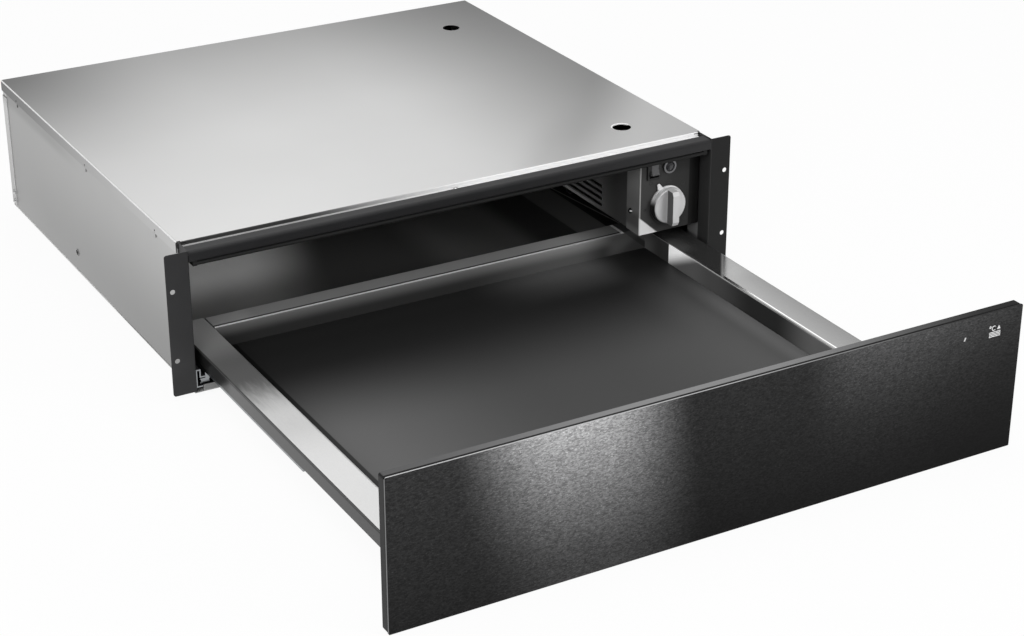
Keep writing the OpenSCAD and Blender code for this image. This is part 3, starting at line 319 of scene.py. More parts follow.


# rear and front rail, and with the rear one the back wall of the basin; painted reflection and shade on the
# tops, a bright stretch that darkens to the right, painted highlights along the front edge and at the right
# end, and on the wall painted light that fades into painted shade towards its right end
def crossRails():
    look = {"tone": 0.64, "bright": 0.2, "right": 0.42, "left": 0.3, "gap": 0.9, "light": 0.3, "line": 0.98,
            "mitre": 0.09, "wallLow": 0.032, "lowGlow": 0.075, "wallHigh": 0.150, "highGlow": 0.115,
            "end": 0.075, "past": 0.045, "pastRise": 0.10, "streaks": 0.06, "mitreLean": 1.15,
            "mitrePlace": 0.24676, "roughness": 0.3, "metallic": 0.45, "specular": 0.3, "bump": 0.012}
    material, wire, shader, place, (x, y, z) = finishFrom("crossRailSteel", look, look["tone"])
    lines = grain(wire, place, 900.0, 2.0, (0.03, 1, 1))
    rear = y.between(-0.300, -0.299)
    top = z.between(0.0330, 0.0338)
    slanted = x + z * look["mitreLean"] - look["mitrePlace"]
    mitre = slanted.between(-0.0006, 0.0006)
    line = x.hump(0.2034, 0.2042, 0.2066, 0.2074)
    topLevel = look["tone"] * (1.0 + x.hump(0.08, 0.145, 0.15, 0.17) * look["bright"])
    topLevel = topLevel * (1.0 - x.between(0.160, 0.203) * look["right"])
    topLevel = topLevel * (1.0 + x.between(-0.185, -0.205) * look["left"])
    topLevel = topLevel * (1.0 - y.hump(-0.2104, -0.2098, -0.2086, -0.2080) * look["gap"])
    topLevel = topLevel + y.between(-0.2100, -0.2106) * x.between(0.10, 0.15, look["light"], 0.0)
    topLevel = blend(blend(topLevel, look["line"], line), look["mitre"], mitre)
    glow = x.hump(0.02, 0.145, 0.150, 0.190)
    fade = x.between(0.180, 0.198)
    low = blend(look["wallLow"] + glow * look["lowGlow"], look["end"], fade)
    high = blend(look["wallHigh"] + glow * look["highGlow"], look["end"], fade)
    wall = low + (high - low) * z.between(0.0195, 0.0330)
    wall = blend(wall, look["past"] + slanted.between(0.006, 0.010) * look["pastRise"], mitre)
    level = blend(look["tone"], blend(wall, topLevel, top), rear)
    feed(wire, shader, Base_Color=tinted(wire, warmWhite, varied(level, lines, look["streaks"])),
         Metallic=look["metallic"] * (1.0 - rear * (1.0 - top)), Normal=relief(wire, lines, look["bump"]))
    return material


# right rail: painted reflection on its top with a dark painted stretch at the back, a painted highlight along
# its bend, and painted shade on the wall of the basin under it, where a painted patch of light, made to glow,
# lies just in front of the housing
def rightRail():
    look = {"top": 0.60, "across": 6.0, "along": 0.12, "shade": 0.026, "sheen": 0.04, "line": 0.75,
            "wall": 0.028, "wallMiddle": 0.085, "wallRear": 0.055, "wallFront": 0.16, "under": 0.055,
            "underRear": 0.10, "patch": 0.95, "patchLean": 2.07, "glow": 0.38, "shadeLean": 1.462,
            "streaks": 0.06, "wallDull": 0.3, "roughness": 0.17, "metallic": 1.0, "specular": 0.3,
            "bump": 0.012}
    material, wire, shader, place, (x, y, z) = finishFrom("rightRailSteel", look, look["top"],
                                                          Emission_Strength=1.0)
    lines = grain(wire, place, 900.0, 2.0, (1, 0.03, 1))
    wall = x.between(0.2326, 0.2321) * z.between(0.0336, 0.0328)
    under = y.between(-0.2562, -0.2548)
    patch = (y + z * look["patchLean"] + 0.2240).between(-0.018, 0.018) * (1.0 - under) * wall
    bend = x.hump(0.2305, 0.2312, 0.2322, 0.2330) * z.between(0.0318, 0.0328)
    line = bend * y.between(-0.250, -0.262) * (1.0 - y.between(-0.41, -0.45))
    shade = (y - (x - 0.2442) * look["shadeLean"] + 0.3319).between(-0.003, 0.005) * (1.0 - wall)
    low = look["shade"] + y.hump(-0.290, -0.270, -0.255, -0.240) * x.between(0.255, 0.232) * look["sheen"]
    top = look["top"] - (x - 0.248) * look["across"] + y.between(-0.37, -0.335) * look["along"]
    top = blend(blend(varied(top, lines, look["streaks"]), low, shade), look["line"], line)
    shade = shade + line * (1.0 - shade)
    dark = look["wall"] + y.between(-0.40, -0.33) * look["wallMiddle"]
    dark = dark + y.between(-0.33, -0.295) * look["wallRear"] + y.between(-0.435, -0.50) * look["wallFront"]
    dark = blend(dark, look["under"] + y.between(-0.240, -0.212) * look["underRear"], under)
    base = patch.mix(tinted(wire, warmWhite, blend(top, dark, wall)), grey(look["patch"]))
    feed(wire, shader, Base_Color=base, Metallic=(1.0 - wall) * (1.0 - shade),
         Roughness=look["roughness"] + wall * look["wallDull"],
         Emission_Color=tinted(wire, white, patch * look["glow"]), Normal=relief(wire, lines, look["bump"]))
    return material


# floor of the housing: painted light on its left, where it is also made to glow, and painted shade to the
# right; by the right wall a painted band, darker near the wall, and a painted highlight line
def innerSheet():
    look = {"dark": 0.09, "left": 0.38, "deep": 0.42, "middle": 0.10, "right": 0.3, "lip": 0.20,
            "lipFall": 0.18, "line": 0.3, "plain": 0.28, "glow": 0.068, "brightLean": 0.3, "lineLean": 0.11,
            "streaks": 0.08, "roughVary": 0.06, "roughness": 0.4, "metallic": 0.1, "specular": 0.3}
    material, wire, shader, place, (x, y, z) = finishFrom("innerSteel", look, look["plain"],
                                                          Emission_Strength=1.0)
    lines = grain(wire, place, 60.0, 2.0, (1, 0.4, 1))
    inside = z.hump(0.0003, 0.0005, 0.0012, 0.0020)
    bright = (x - (y + 0.03) * look["brightLean"]).between(-0.040, -0.135)
    deep = y.between(-0.105, -0.030)
    level = look["dark"] + bright * (look["left"] + deep * look["deep"])
    level = level + x.hump(0.03, 0.08, 0.14, 0.17) * look["middle"]
    level = level * (1.0 - x.between(0.15, 0.175) * look["right"])
    lip = look["lip"] - x.between(0.2415, 0.2425) * look["lipFall"]
    level = blend(level, lip, x.between(0.2065, 0.2080))
    level = level + (x + (y + 0.038) * look["lineLean"]).hump(0.2472, 0.2480, 0.2490, 0.2500) * look["line"]
    level = varied(blend(look["plain"], level, inside), lines, look["streaks"])
    feed(wire, shader, Base_Color=tinted(wire, steelWhite, level),
         Roughness=look["roughness"] + (lines - 0.5) * look["roughVary"],
         Emission_Color=tinted(wire, white, inside * bright * deep * look["glow"]))
    return material


# wall with the louvres: dark satin sheet, painted lighter towards the back, with painted light along its foot
# and a painted highlight on the blade behind the lowest slot
def wallSheet():
    look = {"front": 0.09, "rear": 0.46, "foot": 0.60, "blade": 0.25, "bright": 0.95, "streaks": 0.08,
            "roughness": 0.32, "metallic": 0.2, "specular": 0.3, "bump": 0.015}
    material, wire, shader, place, (x, y, z) = finishFrom("wallSteel", look, look["front"])
    lines = grain(wire, place, 900.0, 2.0, (1, 0.05, 1))
    blade = x.between(0.2036, 0.2042)
    lit = blade * z.between(0.0540, 0.0535) * y.between(-0.161, -0.159)
    level = look["front"] + y.between(-0.205, -0.130) * (look["rear"] - look["front"])
    level = level + z.between(0.0494, 0.0486) * y.between(-0.175, -0.105) * look["foot"]
    level = blend(blend(level, look["blade"], blade), look["bright"], lit)
    feed(wire, shader, Base_Color=tinted(wire, steelWhite, varied(level, lines, look["streaks"])),
         Normal=relief(wire, lines, look["bump"]))
    return material


# fascia: dark satin sheet in painted light and shade, darker to the right, at its end and near its top, with
# painted light on its side flange, a painted highlight on the fold at its left and a painted reflection of the
# rail in its lower corner
def fasciaSheet():
    look = {"left": 0.060, "right": 0.034, "end": 0.012, "upper": 0.25, "flange": 0.21, "flangeTop": 0.10,
            "flangeFoot": 0.09, "corner": 0.88, "edge": 0.52, "streaks": 0.10, "roughness": 0.3,
            "metallic": 0.05, "specular": 0.08, "bump": 0.02}
    material, wire, shader, place, (x, y, z) = finishFrom("fasciaSteel", look, look["left"])
    lines = grain(wire, place, 1100.0, 2.0, (1, 1, 0.03))
    front = y.between(-0.2457, -0.2467)
    slope = (x - 0.2019) / 0.0205 + (z - 0.0453) / 0.0185
    corner = slope.between(1.06, 0.94) * front
    fold = x.between(0.2032, 0.2027) * front
    level = look["left"] + x.between(0.212, 0.245) * (look["right"] - look["left"])
    level = level + x.between(0.2585, 0.2595) * (look["end"] - look["right"])
    level = level * (1.0 - z.between(0.100, 0.112) * look["upper"])
    side = look["flange"] + z.between(0.075, 0.105) * look["flangeTop"]
    side = side - z.hump(0.048, 0.055, 0.062, 0.071) * look["flangeFoot"]
    level = varied(blend(blend(side, level, front), look["edge"], fold), lines, look["streaks"])
    base = corner.mix(tinted(wire, steelWhite, level), grey(look["corner"]))
    feed(wire, shader, Base_Color=base, Normal=relief(wire, lines, look["bump"]))
    return material


# dark front: very fine grain with bright specks, two soft blooms of painted highlight, painted light rising to
# the top and painted shade low on the right, a painted highlight on its bevel, strongest along the top, and
# painted shade on the faces behind it
def darkFront():
    look = {"low": 0.006, "rise": 0.021, "leftMore": 0.009, "bloom": 0.46, "bloomPower": 1.8, "bloomLow": 0.09,
            "lean": 0.022, "right": 0.064, "rightPower": 2.8, "rightLow": 0.6, "edge": 0.62, "edgeFall": 0.57,
            "sides": 0.16, "leftSide": 0.22, "behind": 0.9, "grainScale": 950.0, "plain": 0.53, "fine": 0.76,
            "specks": 0.85, "speckFiner": 1.2, "roughVary": 0.16, "high": 0.1307, "roughness": 0.34,
            "metallic": 0.9, "specular": 0.5, "bump": 0.05}
    material, wire, shader, place, (x, y, z) = finishFrom("darkFrontSteel", look, look["low"])
    fine = grain(wire, place, look["grainScale"], 2.0, (0.4, 1, 1), 0.75)
    speck = grain(wire, place, look["grainScale"] * look["speckFiner"], 1.0, (0.5, 1, 1), 0.6)
    height = (z / look["high"]).sum("MAXIMUM", 0.0)
    climb = blend(look["bloomLow"], 1.0, height.sum("POWER", look["bloomPower"]))
    bloom = (x - (1.0 - height) * look["lean"]).hump(-0.245, -0.150, -0.120, -0.030) * climb * look["bloom"]
    right = x.hump(0.070, 0.130, 0.150, 0.340) * height.sum("POWER", look["rightPower"]) * look["right"]
    tone = look["low"] + height * look["rise"] + x.between(0.0, -0.25) * look["leftMore"] + bloom + right
    tone = tone * (1.0 - x.between(0.14, 0.28) * (1.0 - height) * look["rightLow"])
    specks = speck.between(0.58, 0.78) * look["specks"]
    tone = tone * (look["plain"] + fine.between(0.30, 0.70) * look["fine"] + specks)
    bevel = y.hump(-0.69000, -0.68985, -0.68950, -0.68938)
    top = z.between(0.1295, 0.1302)
    sides = blend(look["sides"], 1.0, top) + x.between(-0.2962, -0.2966) * (1.0 - top) * look["leftSide"]
    edge = bevel * sides * (look["edge"] - x.between(-0.05, 0.26) * look["edgeFall"])
    behind = y.between(-0.68940, -0.68930)
    level = tone * (1.0 - bevel) * (1.0 - behind * look["behind"]) + edge
    feed(wire, shader, Base_Color=tinted(wire, coolWhite, level),
         Roughness=look["roughness"] + (fine - 0.5) * look["roughVary"],
         Normal=relief(wire, fine, look["bump"]))
    return material


# frame behind the front: sprayed black, with a band of painted reflection along its top, brightest near the
# middle and dark just behind the front
def blackFrameFinish():
    look = {"dark": 0.014, "band": 0.225, "left": 0.38, "right": 0.03, "gap": 0.06, "speckle": 0.12,
            "roughness": 0.45, "specular": 0.12, "bump": 0.03}
    material, wire, shader, place, (x, y, z) = finishFrom("blackFrame", look, look["dark"])
    fine = grain(wire, place, 900.0, 2.0, (0.6, 1, 1), 0.7)
    band = x.between(-0.30, -0.06, look["left"], 1.0) * x.between(0.02, 0.29, 1.0, look["right"]) * look["band"]
    band = band * y.between(-0.6868, -0.6862, look["gap"], 1.0)
    level = blend(look["dark"], varied(band, fine, look["speckle"]), z.between(0.1298, 0.1302))
    feed(wire, shader, Base_Color=tinted(wire, coolWhite, level), Normal=relief(wire, fine, look["bump"]))
    return material


# right side of the front frame: black, with painted light on its inside and a brighter patch of painted light
# low down inside, behind the rail
def rightFrame():
    look = {"tone": 0.016, "inside": 0.045, "low": 0.24, "speckle": 0.2, "roughness": 0.46, "specular": 0.12,
            "bump": 0.05}
    material, wire, shader, place, (x, y, z) = finishFrom("rightFrame", look, look["tone"])
    fine = grain(wire, place, 1400.0, 3.0)
    low = x.between(0.2729, 0.2726) * y.between(-0.2458, -0.2450) * z.between(0.0450, 0.0440)
    level = blend(blend(look["tone"], look["inside"], x.between(0.2735, 0.2731)), look["low"], low)
    feed(wire, shader, Base_Color=tinted(wire, white, varied(level, fine, look["speckle"])),
         Normal=relief(wire, fine, look["bump"]))
    return material


knobMiddle = (0.2327, 0.0733)


# knob: silver, with painted shade on the left side of its grip bar and on the foot of its collar, the pointer
# white
def knobFinish():
    look = {"tone": 0.66, "shade": 0.12, "collar": 0.02, "collarLean": 0.4, "pointer": 0.95, "speckle": 0.08,
            "roughness": 0.4, "metallic": 0.1, "specular": 0.3, "bump": 0.03}
    material, wire, shader, place, (x, y, z) = finishFrom("knobSilver", look, look["tone"])
    fine = grain(wire, place, 1500.0, 2.0)
    shade = x.between(0.22935, 0.22910) * x.between(0.2285, 0.2287) * y.between(-0.2555, -0.2558)
    across = z - knobMiddle[1] + (x - knobMiddle[0]) * look["collarLean"]
    collar = y.between(-0.2546, -0.2542) * across.between(0.004, -0.006)
    pointer = y.between(-0.2496, -0.2493) * z.between(0.0890, 0.0905)
    level = blend(blend(look["tone"], look["shade"], shade), look["collar"], collar)
    level = varied(blend(level, look["pointer"], pointer), fine, look["speckle"])
    feed(wire, shader, Base_Color=tinted(wire, (1, 1, 1.005), level), Normal=relief(wire, fine, look["bump"]))
    return material


# rocker of the switch: grey, with painted shade making its left side black
def rockerFinish():
    look = {"tone": 0.11, "side": 0.012, "speckle": 0.16, "roughness": 0.35, "specular": 0.3, "bump": 0.04}
    material, wire, shader, place, (x, y, z) = finishFrom("rockerPlastic", look, look["tone"])
    fine = grain(wire, place, 900.0, 3.0)
    level = varied(blend(look["tone"], look["side"], x.between(0.2144, 0.2140)), fine, look["speckle"])
    feed(wire, shader, Base_Color=tinted(wire, (1, 1, 1.02), level), Normal=relief(wire, fine, look["bump"]))
    return material


# screw in the fascia's side: near black, with painted highlights on the front of its head
def fasciaScrewFinish():
    look = {"tone": 0.004, "light": 0.95, "second": 0.3, "y": -0.2312, "z": 0.0668, "half": 0.0008,
            "speckle": 0.2, "roughness": 0.5, "specular": 0.05}
    material, wire, shader, place, (x, y, z) = finishFrom("fasciaScrewSteel", look, look["tone"])
    fine = grain(wire, place, 900.0, 2.0)
    along = y - look["y"]
    spot = (z - look["z"]).size().between(look["half"] * 1.3, look["half"] * 0.7)
    spot = spot * (along.between(-0.0006, -0.0012) + along.between(0.0016, 0.0020) * look["second"])
    level = varied(look["tone"] + spot * look["light"], fine, look["speckle"])
    feed(wire, shader, Base_Color=tinted(wire, white, level))
    return material


# mat: smooth dark rubber in painted reflection, lighter to the front and most at its sides, dark further back
# but for a lighter stretch at the back, with painted shade along its left edge under the rail
def matFinish():
    look = {"dark": 0.014, "left": 0.128, "leftMore": 1.1, "middle": 0.061, "right": 0.080, "rightEdge": 0.06,
            "reach": 0.035, "rear": 0.075, "leftEdge": 0.22, "rearEdge": 1.3, "speckle": 0.12, "cloud": 0.06,
            "roughness": 0.5, "specular": 0.15, "bump": 0.01}
    material, wire, shader, place, (x, y, z) = finishFrom("floorMat", look, look["middle"])
    fine = grain(wire, place, 2400.0, 2.0)
    cloud = grain(wire, place, 6.0, 2.0)
    across = look["middle"] + x.between(-0.01, -0.235) * (look["left"] - look["middle"]) * look["leftMore"]
    across = across + x.between(0.05, 0.22) * (look["right"] - look["middle"])
    across = across + x.between(0.205, 0.224) * look["rightEdge"]
    reach = (y - x.between(0.15, 0.20) * look["reach"]).between(-0.43, -0.28, 1.0, 0.0)
    rear = x.hump(0.02, 0.14, 0.152, 0.195) * y.between(-0.285, -0.220)
    level = look["dark"] + (across - look["dark"]) * reach + rear * look["rear"]
    level = level * x.between(-0.2134, -0.2122, look["leftEdge"], 1.0)
    level = level * y.between(-0.250, -0.222, 1.0, look["rearEdge"])
    level = level * (1.0 + (fine - 0.5) * look["speckle"] + (cloud - 0.5) * look["cloud"])
    feed(wire, shader, Base_Color=tinted(wire, white, level), Normal=relief(wire, fine, look["bump"]))
    return material


coatLook = {"wornScale": 30.0, "worn": 0.24, "roughVary": 0.12}


# paint, rubber and plastic: a fine moulded or sprayed skin
def coated(name, base, roughness, scale, bumpStrength, **constants):
    material, wire, shader, place, axes = newFinish(name, base, roughness, **constants)
    skin = grain(wire, place, scale, 3.0)
    worn = grain(wire, place, coatLook["wornScale"], 3.0)
    feed(wire, shader, Base_Color=tinted(wire, base, 1.0 + (worn - 0.5) * coatLook["worn"]),
         Roughness=roughness + (skin - 0.5) * coatLook["roughVary"], Normal=relief(wire, skin, bumpStrength))
    return material


blackPaint = coated("blackPaint", (0.019, 0.019, 0.020), 0.46, 1400.0, 0.06, Specular_IOR_Level=0.25)
# the left flange: the black paint again, painted lighter for the light that falls on it
litFlangePaint = coated("litFlangePaint", (0.032, 0.032, 0.033), 0.46, 1400.0, 0.06, Specular_IOR_Level=0.25)
sealRubber = coated("sealRubber", (0.019, 0.019, 0.019), 0.6, 900.0, 0.1, Specular_IOR_Level=0.1)
blackPlastic = coated("blackPlastic", (0.012, 0.012, 0.012), 0.5, 900.0, 0.1)
creamPlastic = coated("creamPlastic", (0.72, 0.69, 0.60), 0.45, 900.0, 0.1)
fanPlastic = coated("fanPlastic", (0.09, 0.09, 0.10), 0.5, 900.0, 0.12)
motorPaint = coated("motorPaint", (0.03, 0.03, 0.035), 0.4, 900.0, 0.12)
cagePlastic = coated("cagePlastic", (0.10, 0.11, 0.10), 0.5, 900.0, 0.1)
elementOxide = coated("elementOxide", (0.13, 0.115, 0.105), 0.55, 500.0, 0.2, metallic=0.6)
lampMetal = coated("lampMetal", (0.16, 0.16, 0.165), 0.3, 1500.0, 0.03, metallic=0.8)
ballChrome = coated("ballChrome", (0.80, 0.80, 0.81), 0.08, 900.0, 0.0, metallic=1.0)
lensDark = coated("lensDark", (0.035, 0.035, 0.038), 0.2, 900.0, 0.02)
guideClear = coated("guideClear", (0.50, 0.50, 0.50), 0.25, 900.0, 0.02)
whitePrint = coated("whitePrint", (0.74, 0.74, 0.74), 0.5, 900.0, 0.0)
# dark print, also used for the knob's painted shadow
darkPrintAndShadow = coated("darkPrintAndShadow", (0.010, 0.010, 0.010), 0.5, 900.0, 0.0)

dress(coverSteel, "top_cover")
dress(caseSteel, "left_side_panel", "right_side_panel", "rear_panel")
dress(innerSheet(), "base_plate", "basin_floor")
dress(wallSheet(), "cavity_wall")
dress(blackPaint, "front_beam")
dress(litFlangePaint, "left_flange")
dress(rightFrame(), "right_flange")
dress(sealRubber, "door_seal")
dress(fasciaSheet(), "control_fascia")
dress(blackPlastic, "switch_body", "safety_cutout", "cable_gland", "latch_body")
dress(rockerFinish(), "rocker")
dress(lampMetal, "lamp_body")
dress(lensDark, "lamp_lens")
dress(creamPlastic, "regulator", "terminal_block", "latch_plunger")
dress(knobFinish(), "temperature_knob")
dress(shaftSteel, "knob_shaft", "fan_shaft", "panel_screws", "case_screws")
dress(fasciaScrewFinish(), "fascia_screw")
dress(zincPlate, "fan_scroll", "heater_duct", "element_clips", "left_runner_brackets", "right_runner_brackets",
      "striker_plate")
dress(shadedRunnerZinc, *(side + "_runner_" + part for side in ("left", "right")
                    for part in ("outer", "middle", "inner")))
dress(motorPaint, "fan_motor")
dress(fanPlastic, "fan_impeller")
dress(elementOxide, "heating_element")
dress(cagePlastic, "left_lower_cage", "right_lower_cage", "left_upper_cage", "right_upper_cage")
dress(ballChrome, "left_lower_balls", "right_lower_balls", "left_upper_balls", "right_upper_balls")
dress(darkFront(), "front_skin")
dress(guideClear, "light_guide")
dress(blackFrameFinish(), "panel_frame")
dress(panelBackSteel, "panel_back")
dress(leftRail(), "left_rail")
dress(rightRail(), "right_rail")
dress(crossRails(), "rear_rail", "front_rail")
dress(matFinish(), "floor_mat")
print("finishes on the frame")


# a geometry tree with one named input for each size
def newTree(name, sizes):
    tree = bpy.data.node_groups.new(name, "GeometryNodeTree")
    tree.interface.new_socket("Geometry", in_out="INPUT", socket_type="NodeSocketGeometry")
    for label, value in sizes.items():
        kind = "Int" if isinstance(value, int) else "Vector" if isinstance(value, tuple) else "Float"
        tree.interface.new_socket(label, in_out="INPUT", socket_type="NodeSocket" + kind)
    tree.interface.new_socket("Geometry", in_out="OUTPUT", socket_type="NodeSocketGeometry")
    enter = tree.nodes.new("NodeGroupInput")
    leave = tree.nodes.new("NodeGroupOutput")
    return Wire(tree), {label: Wire(tree, enter.outputs[label]) for label in ["Geometry", *sizes]}, leave


def closeTree(wire, leave, shapes, material):
    real = wire.node("GeometryNodeRealizeInstances", {}, {"Geometry": shapes})
    dressed = wire.node("GeometryNodeSetMaterial", {}, {"Geometry": real, "Material": material})
    wire.tree.links.new(dressed.socket, leave.inputs[0])


def growPiece(name, tree, sizes, body, seed=None, replaced=()):
    carrier = bpy.data.objects.new(name + "Seed", seed or bpy.data.meshes.new(name + "Seed"))
    bpy.context.scene.collection.objects.link(carrier)
    modifier = carrier.modifiers.new("grow", "NODES")
    modifier.node_group = tree
    for item in tree.interface.items_tree:
        if item.in_out == "INPUT" and item.name in sizes:
            modifier[item.identifier] = sizes[item.name]
    graph = bpy.context.evaluated_depsgraph_get()
    mesh = bpy.data.meshes.new_from_object(carrier.evaluated_get(graph))
    carrier.modifiers.remove(modifier)
    bpy.data.objects.remove(carrier)
    return placePiece(name, mesh, body, replaced)


def placePiece(name, mesh, body, replaced=()):
    mesh.name = name
    piece = bpy.data.objects.new(name, mesh)
    bpy.context.scene.collection.objects.link(piece)
    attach(piece, body)
    if replaced:
        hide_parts(*replaced)
    return piece


# bearing balls: two straight rows in each cage
def ballTree():
    sizes = {"Balls": 2, "Pitch": 0.1, "Ball Radius": 0.1, "Row Gap": 0.1, "First Ball": (0.0, 0.0, 0.0)}
    wire, given, leave = newTree("ballRows", sizes)
    step = wire.node("ShaderNodeCombineXYZ", {}, {"Y": given["Pitch"]})
    across = wire.node("ShaderNodeCombineXYZ", {}, {"X": given["Row Gap"]})
    second = wire.node("ShaderNodeVectorMath", {"operation": "ADD"}, {0: given["First Ball"], 1: across})
    rows = [wire.node("GeometryNodeMeshLine", {"mode": "OFFSET"},
                      {"Count": given["Balls"], "Start Location": start, "Offset": step})
            for start in (given["First Ball"], second)]
    both = wire.node("GeometryNodeJoinGeometry", {}, {0: list(reversed(rows))})
    ball = wire.node("GeometryNodeMeshUVSphere", {}, {"Segments": 24, "Rings": 12,
                                                      "Radius": given["Ball Radius"]})
    ball = wire.node("GeometryNodeSetShadeSmooth", {}, {"Geometry": ball})
    placed = wire.node("GeometryNodeInstanceOnPoints", {}, {"Points": both, "Instance": ball})
    closeTree(wire, leave, placed, ballChrome)
    return wire.tree


ballSizes = {"radius": 0.002, "pitch": 0.038}
ballRows = ballTree()
for side in ("left", "right"):
    for level in ("lower", "upper"):
        node = side + "_" + level + "_balls"
        low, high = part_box(node)
        r = ballSizes["radius"]
        growPiece(side + level.capitalize() + "Balls", ballRows, {
            "Balls": round((high[1] - low[1] - 2 * r) / ballSizes["pitch"]) + 1, "Pitch": ballSizes["pitch"],
            "Ball Radius": r, "Row Gap": high[0] - low[0] - 2 * r,
            "First Ball": (low[0] + r, low[1] + r, low[2] + r)}, node, replaced=(node,))
print("balls in their rows")


# rims of slots that repeat along a line: beads laid round each opening
def rimTree(name, turn, sizes):
    wire, given, leave = newTree(name, sizes)
    outline = wire.node("GeometryNodeCurvePrimitiveQuadrilateral", {}, {"Width": given["Width"],
                                                                        "Height": given["Height"]})
    outline = wire.node("GeometryNodeFilletCurve", {"mode": "POLY"}, {
        "Curve": outline, "Radius": given["Corner"], "Count": 4})
    bead = wire.node("GeometryNodeCurvePrimitiveCircle", {}, {"Resolution": 10, "Radius": given["Bead"]})
    rim = wire.node("GeometryNodeCurveToMesh", {}, {"Curve": outline, "Profile Curve": bead})
    rim = wire.node("GeometryNodeTransform", {}, {"Geometry": rim, "Rotation": turn})
    rim = wire.node("GeometryNodeSetShadeSmooth", {}, {"Geometry": rim})
    line = wire.node("GeometryNodeMeshLine", {"mode": "OFFSET"}, {
        "Count": given["Slots"], "Start Location": given["Start"], "Offset": given["Step"]})
    placed = wire.node("GeometryNodeInstanceOnPoints", {}, {"Points": line, "Instance": rim})
    closeTree(wire, leave, placed, rimSteel)
    return wire.tree


louvres = {"Width": 0.1004, "Height": 0.0034, "Corner": 0.0012, "Bead": 0.00028, "Slots": 4,
           "Start": (0.2027, -0.1265, 0.0520), "Step": (0.0, 0.0, 0.0067)}
growPiece("louvreRims", rimTree("louvreRims", (math.pi / 2, 0, math.pi / 2), louvres), louvres, "housing")
vents = {"Width": 0.0034, "Height": 0.0244, "Corner": 0.0012, "Bead": 0.0003, "Slots": 7,
         "Start": (0.2124, 0.2424, 0.0563), "Step": (0.007, 0.0, 0.0)}
growPiece("ventRims", rimTree("ventRims", (math.pi / 2, 0, 0), vents), vents, "housing")
print("rims round the slots")


# printed lines: strokes given as edges in a face, made thin flat bands
def strokeTree(name, material):
    wire, given, leave = newTree(name, {"Line Width": 0.1, "Film": 0.1, "Face": 0.1})
    path = wire.node("GeometryNodeMeshToCurve", {}, {"Mesh": given["Geometry"]})
    pen = wire.node("GeometryNodeCurvePrimitiveCircle", {}, {"Resolution": 8,
                                                             "Radius": given["Line Width"] * 0.5})
    lines = wire.node("GeometryNodeCurveToMesh", {}, {"Curve": path, "Profile Curve": pen, "Fill Caps": True})
    flat = wire.node("ShaderNodeCombineXYZ", {}, {"X": 1.0, "Y": given["Film"] / given["Line Width"], "Z": 1.0})
    shift = wire.node("ShaderNodeCombineXYZ", {}, {"Y": given["Face"]})
    lines = wire.node("GeometryNodeTransform", {}, {"Geometry": lines, "Scale": flat, "Translation": shift})
    closeTree(wire, leave, lines, material)
    return wire.tree


def printLines(name, look, material, body, strokes):
    # strokes are lists of points in X and Z; one that ends where it starts is a ring
    seed = bpy.data.meshes.new(name + "Strokes")
    points, edges = [], []
    for stroke in strokes:
        first = len(points)
        points += [(px, 0.0, pz) for px, pz in stroke]
        edges += [(i, i + 1) for i in range(first, len(points) - 1)]
        if stroke[0] == stroke[-1]:
            points.pop()
            edges[-1] = (edges[-1][0], first)
    seed.from_pydata(points, edges, [])
    sizes = {"Line Width": look["line"], "Film": look["film"], "Face": look["face"]}
    return growPiece(name, strokeTree(name + "Lines", material), sizes, body, seed)


def printShape(name, look, film, material, body, outline):
    # a thin printed shape, its outline given in X and Z
    mesh = bpy.data.meshes.new(name)
    shape = bmesh.new()
    front = [shape.verts.new((px, look["face"] - film, pz)) for px, pz in outline]
    back = [shape.verts.new((px, look["face"], pz)) for px, pz in outline]
    shape.faces.new(front)
    shape.faces.new(list(reversed(back)))
    for i in range(len(outline)):
        j = (i + 1) % len(outline)
        shape.faces.new((front[i], front[j], back[j], back[i]))
    bmesh.ops.recalc_face_normals(shape, faces=shape.faces)
    shape.to_mesh(mesh)
    shape.free()
    mesh.materials.append(material)
    return placePiece(name, mesh, body)


def arc(cx, cz, r, start, end, steps=16, grow=0.0):
    # points on an arc, its angles in degrees from +X towards +Z; with grow it is a spiral
    points = []
    for i in range(steps + 1):
        turn = math.radians(start + (end - start) * i / steps)
        far = r + grow * i / steps
        points.append((cx + far * math.cos(turn), cz + far * math.sin(turn)))
    if abs(end - start) == 360:
        points[-1] = points[0]
    return points


def inMetres(middle, points):
    # points given in millimetres round a middle
    mm = 0.001
    return [(middle[0] + px * mm, middle[1] + pz * mm) for px, pz in points]


# sign on the front: degree ring, C, a triangle and a stack of bars
sign = {"row": (0.2683, 0.1150), "bars": (0.2683, 0.1094), "face": -0.69, "film": 0.00006, "line": 0.0008,
        "triangleFilm": 0.00004, "barHalf": 6.0, "barStep": 1.35, "barCount": 4}
letters = [arc(-5.2, 1.4, 0.8, 0, 360, 12), arc(-1.3, 0.0, 2.0, 45, 315, 14)]
triangle = [(2.1, -1.6), (5.7, -1.6), (3.9, 1.9)]
heights = [(row - (sign["barCount"] - 1) / 2) * sign["barStep"] for row in range(sign["barCount"])]
bars = [[(-sign["barHalf"], z), (sign["barHalf"], z)] for z in heights]
printLines("frontLetters", sign, whitePrint, "drawer",
           [inMetres(sign["row"], stroke) for stroke in letters])
printLines("frontBars", sign, whitePrint, "drawer",
           [inMetres(sign["bars"], stroke) for stroke in bars])
printShape("frontTriangle", sign, sign["triangleFilm"], whitePrint, "drawer",
           inMetres(sign["row"], triangle))
print("sign printed on the front")

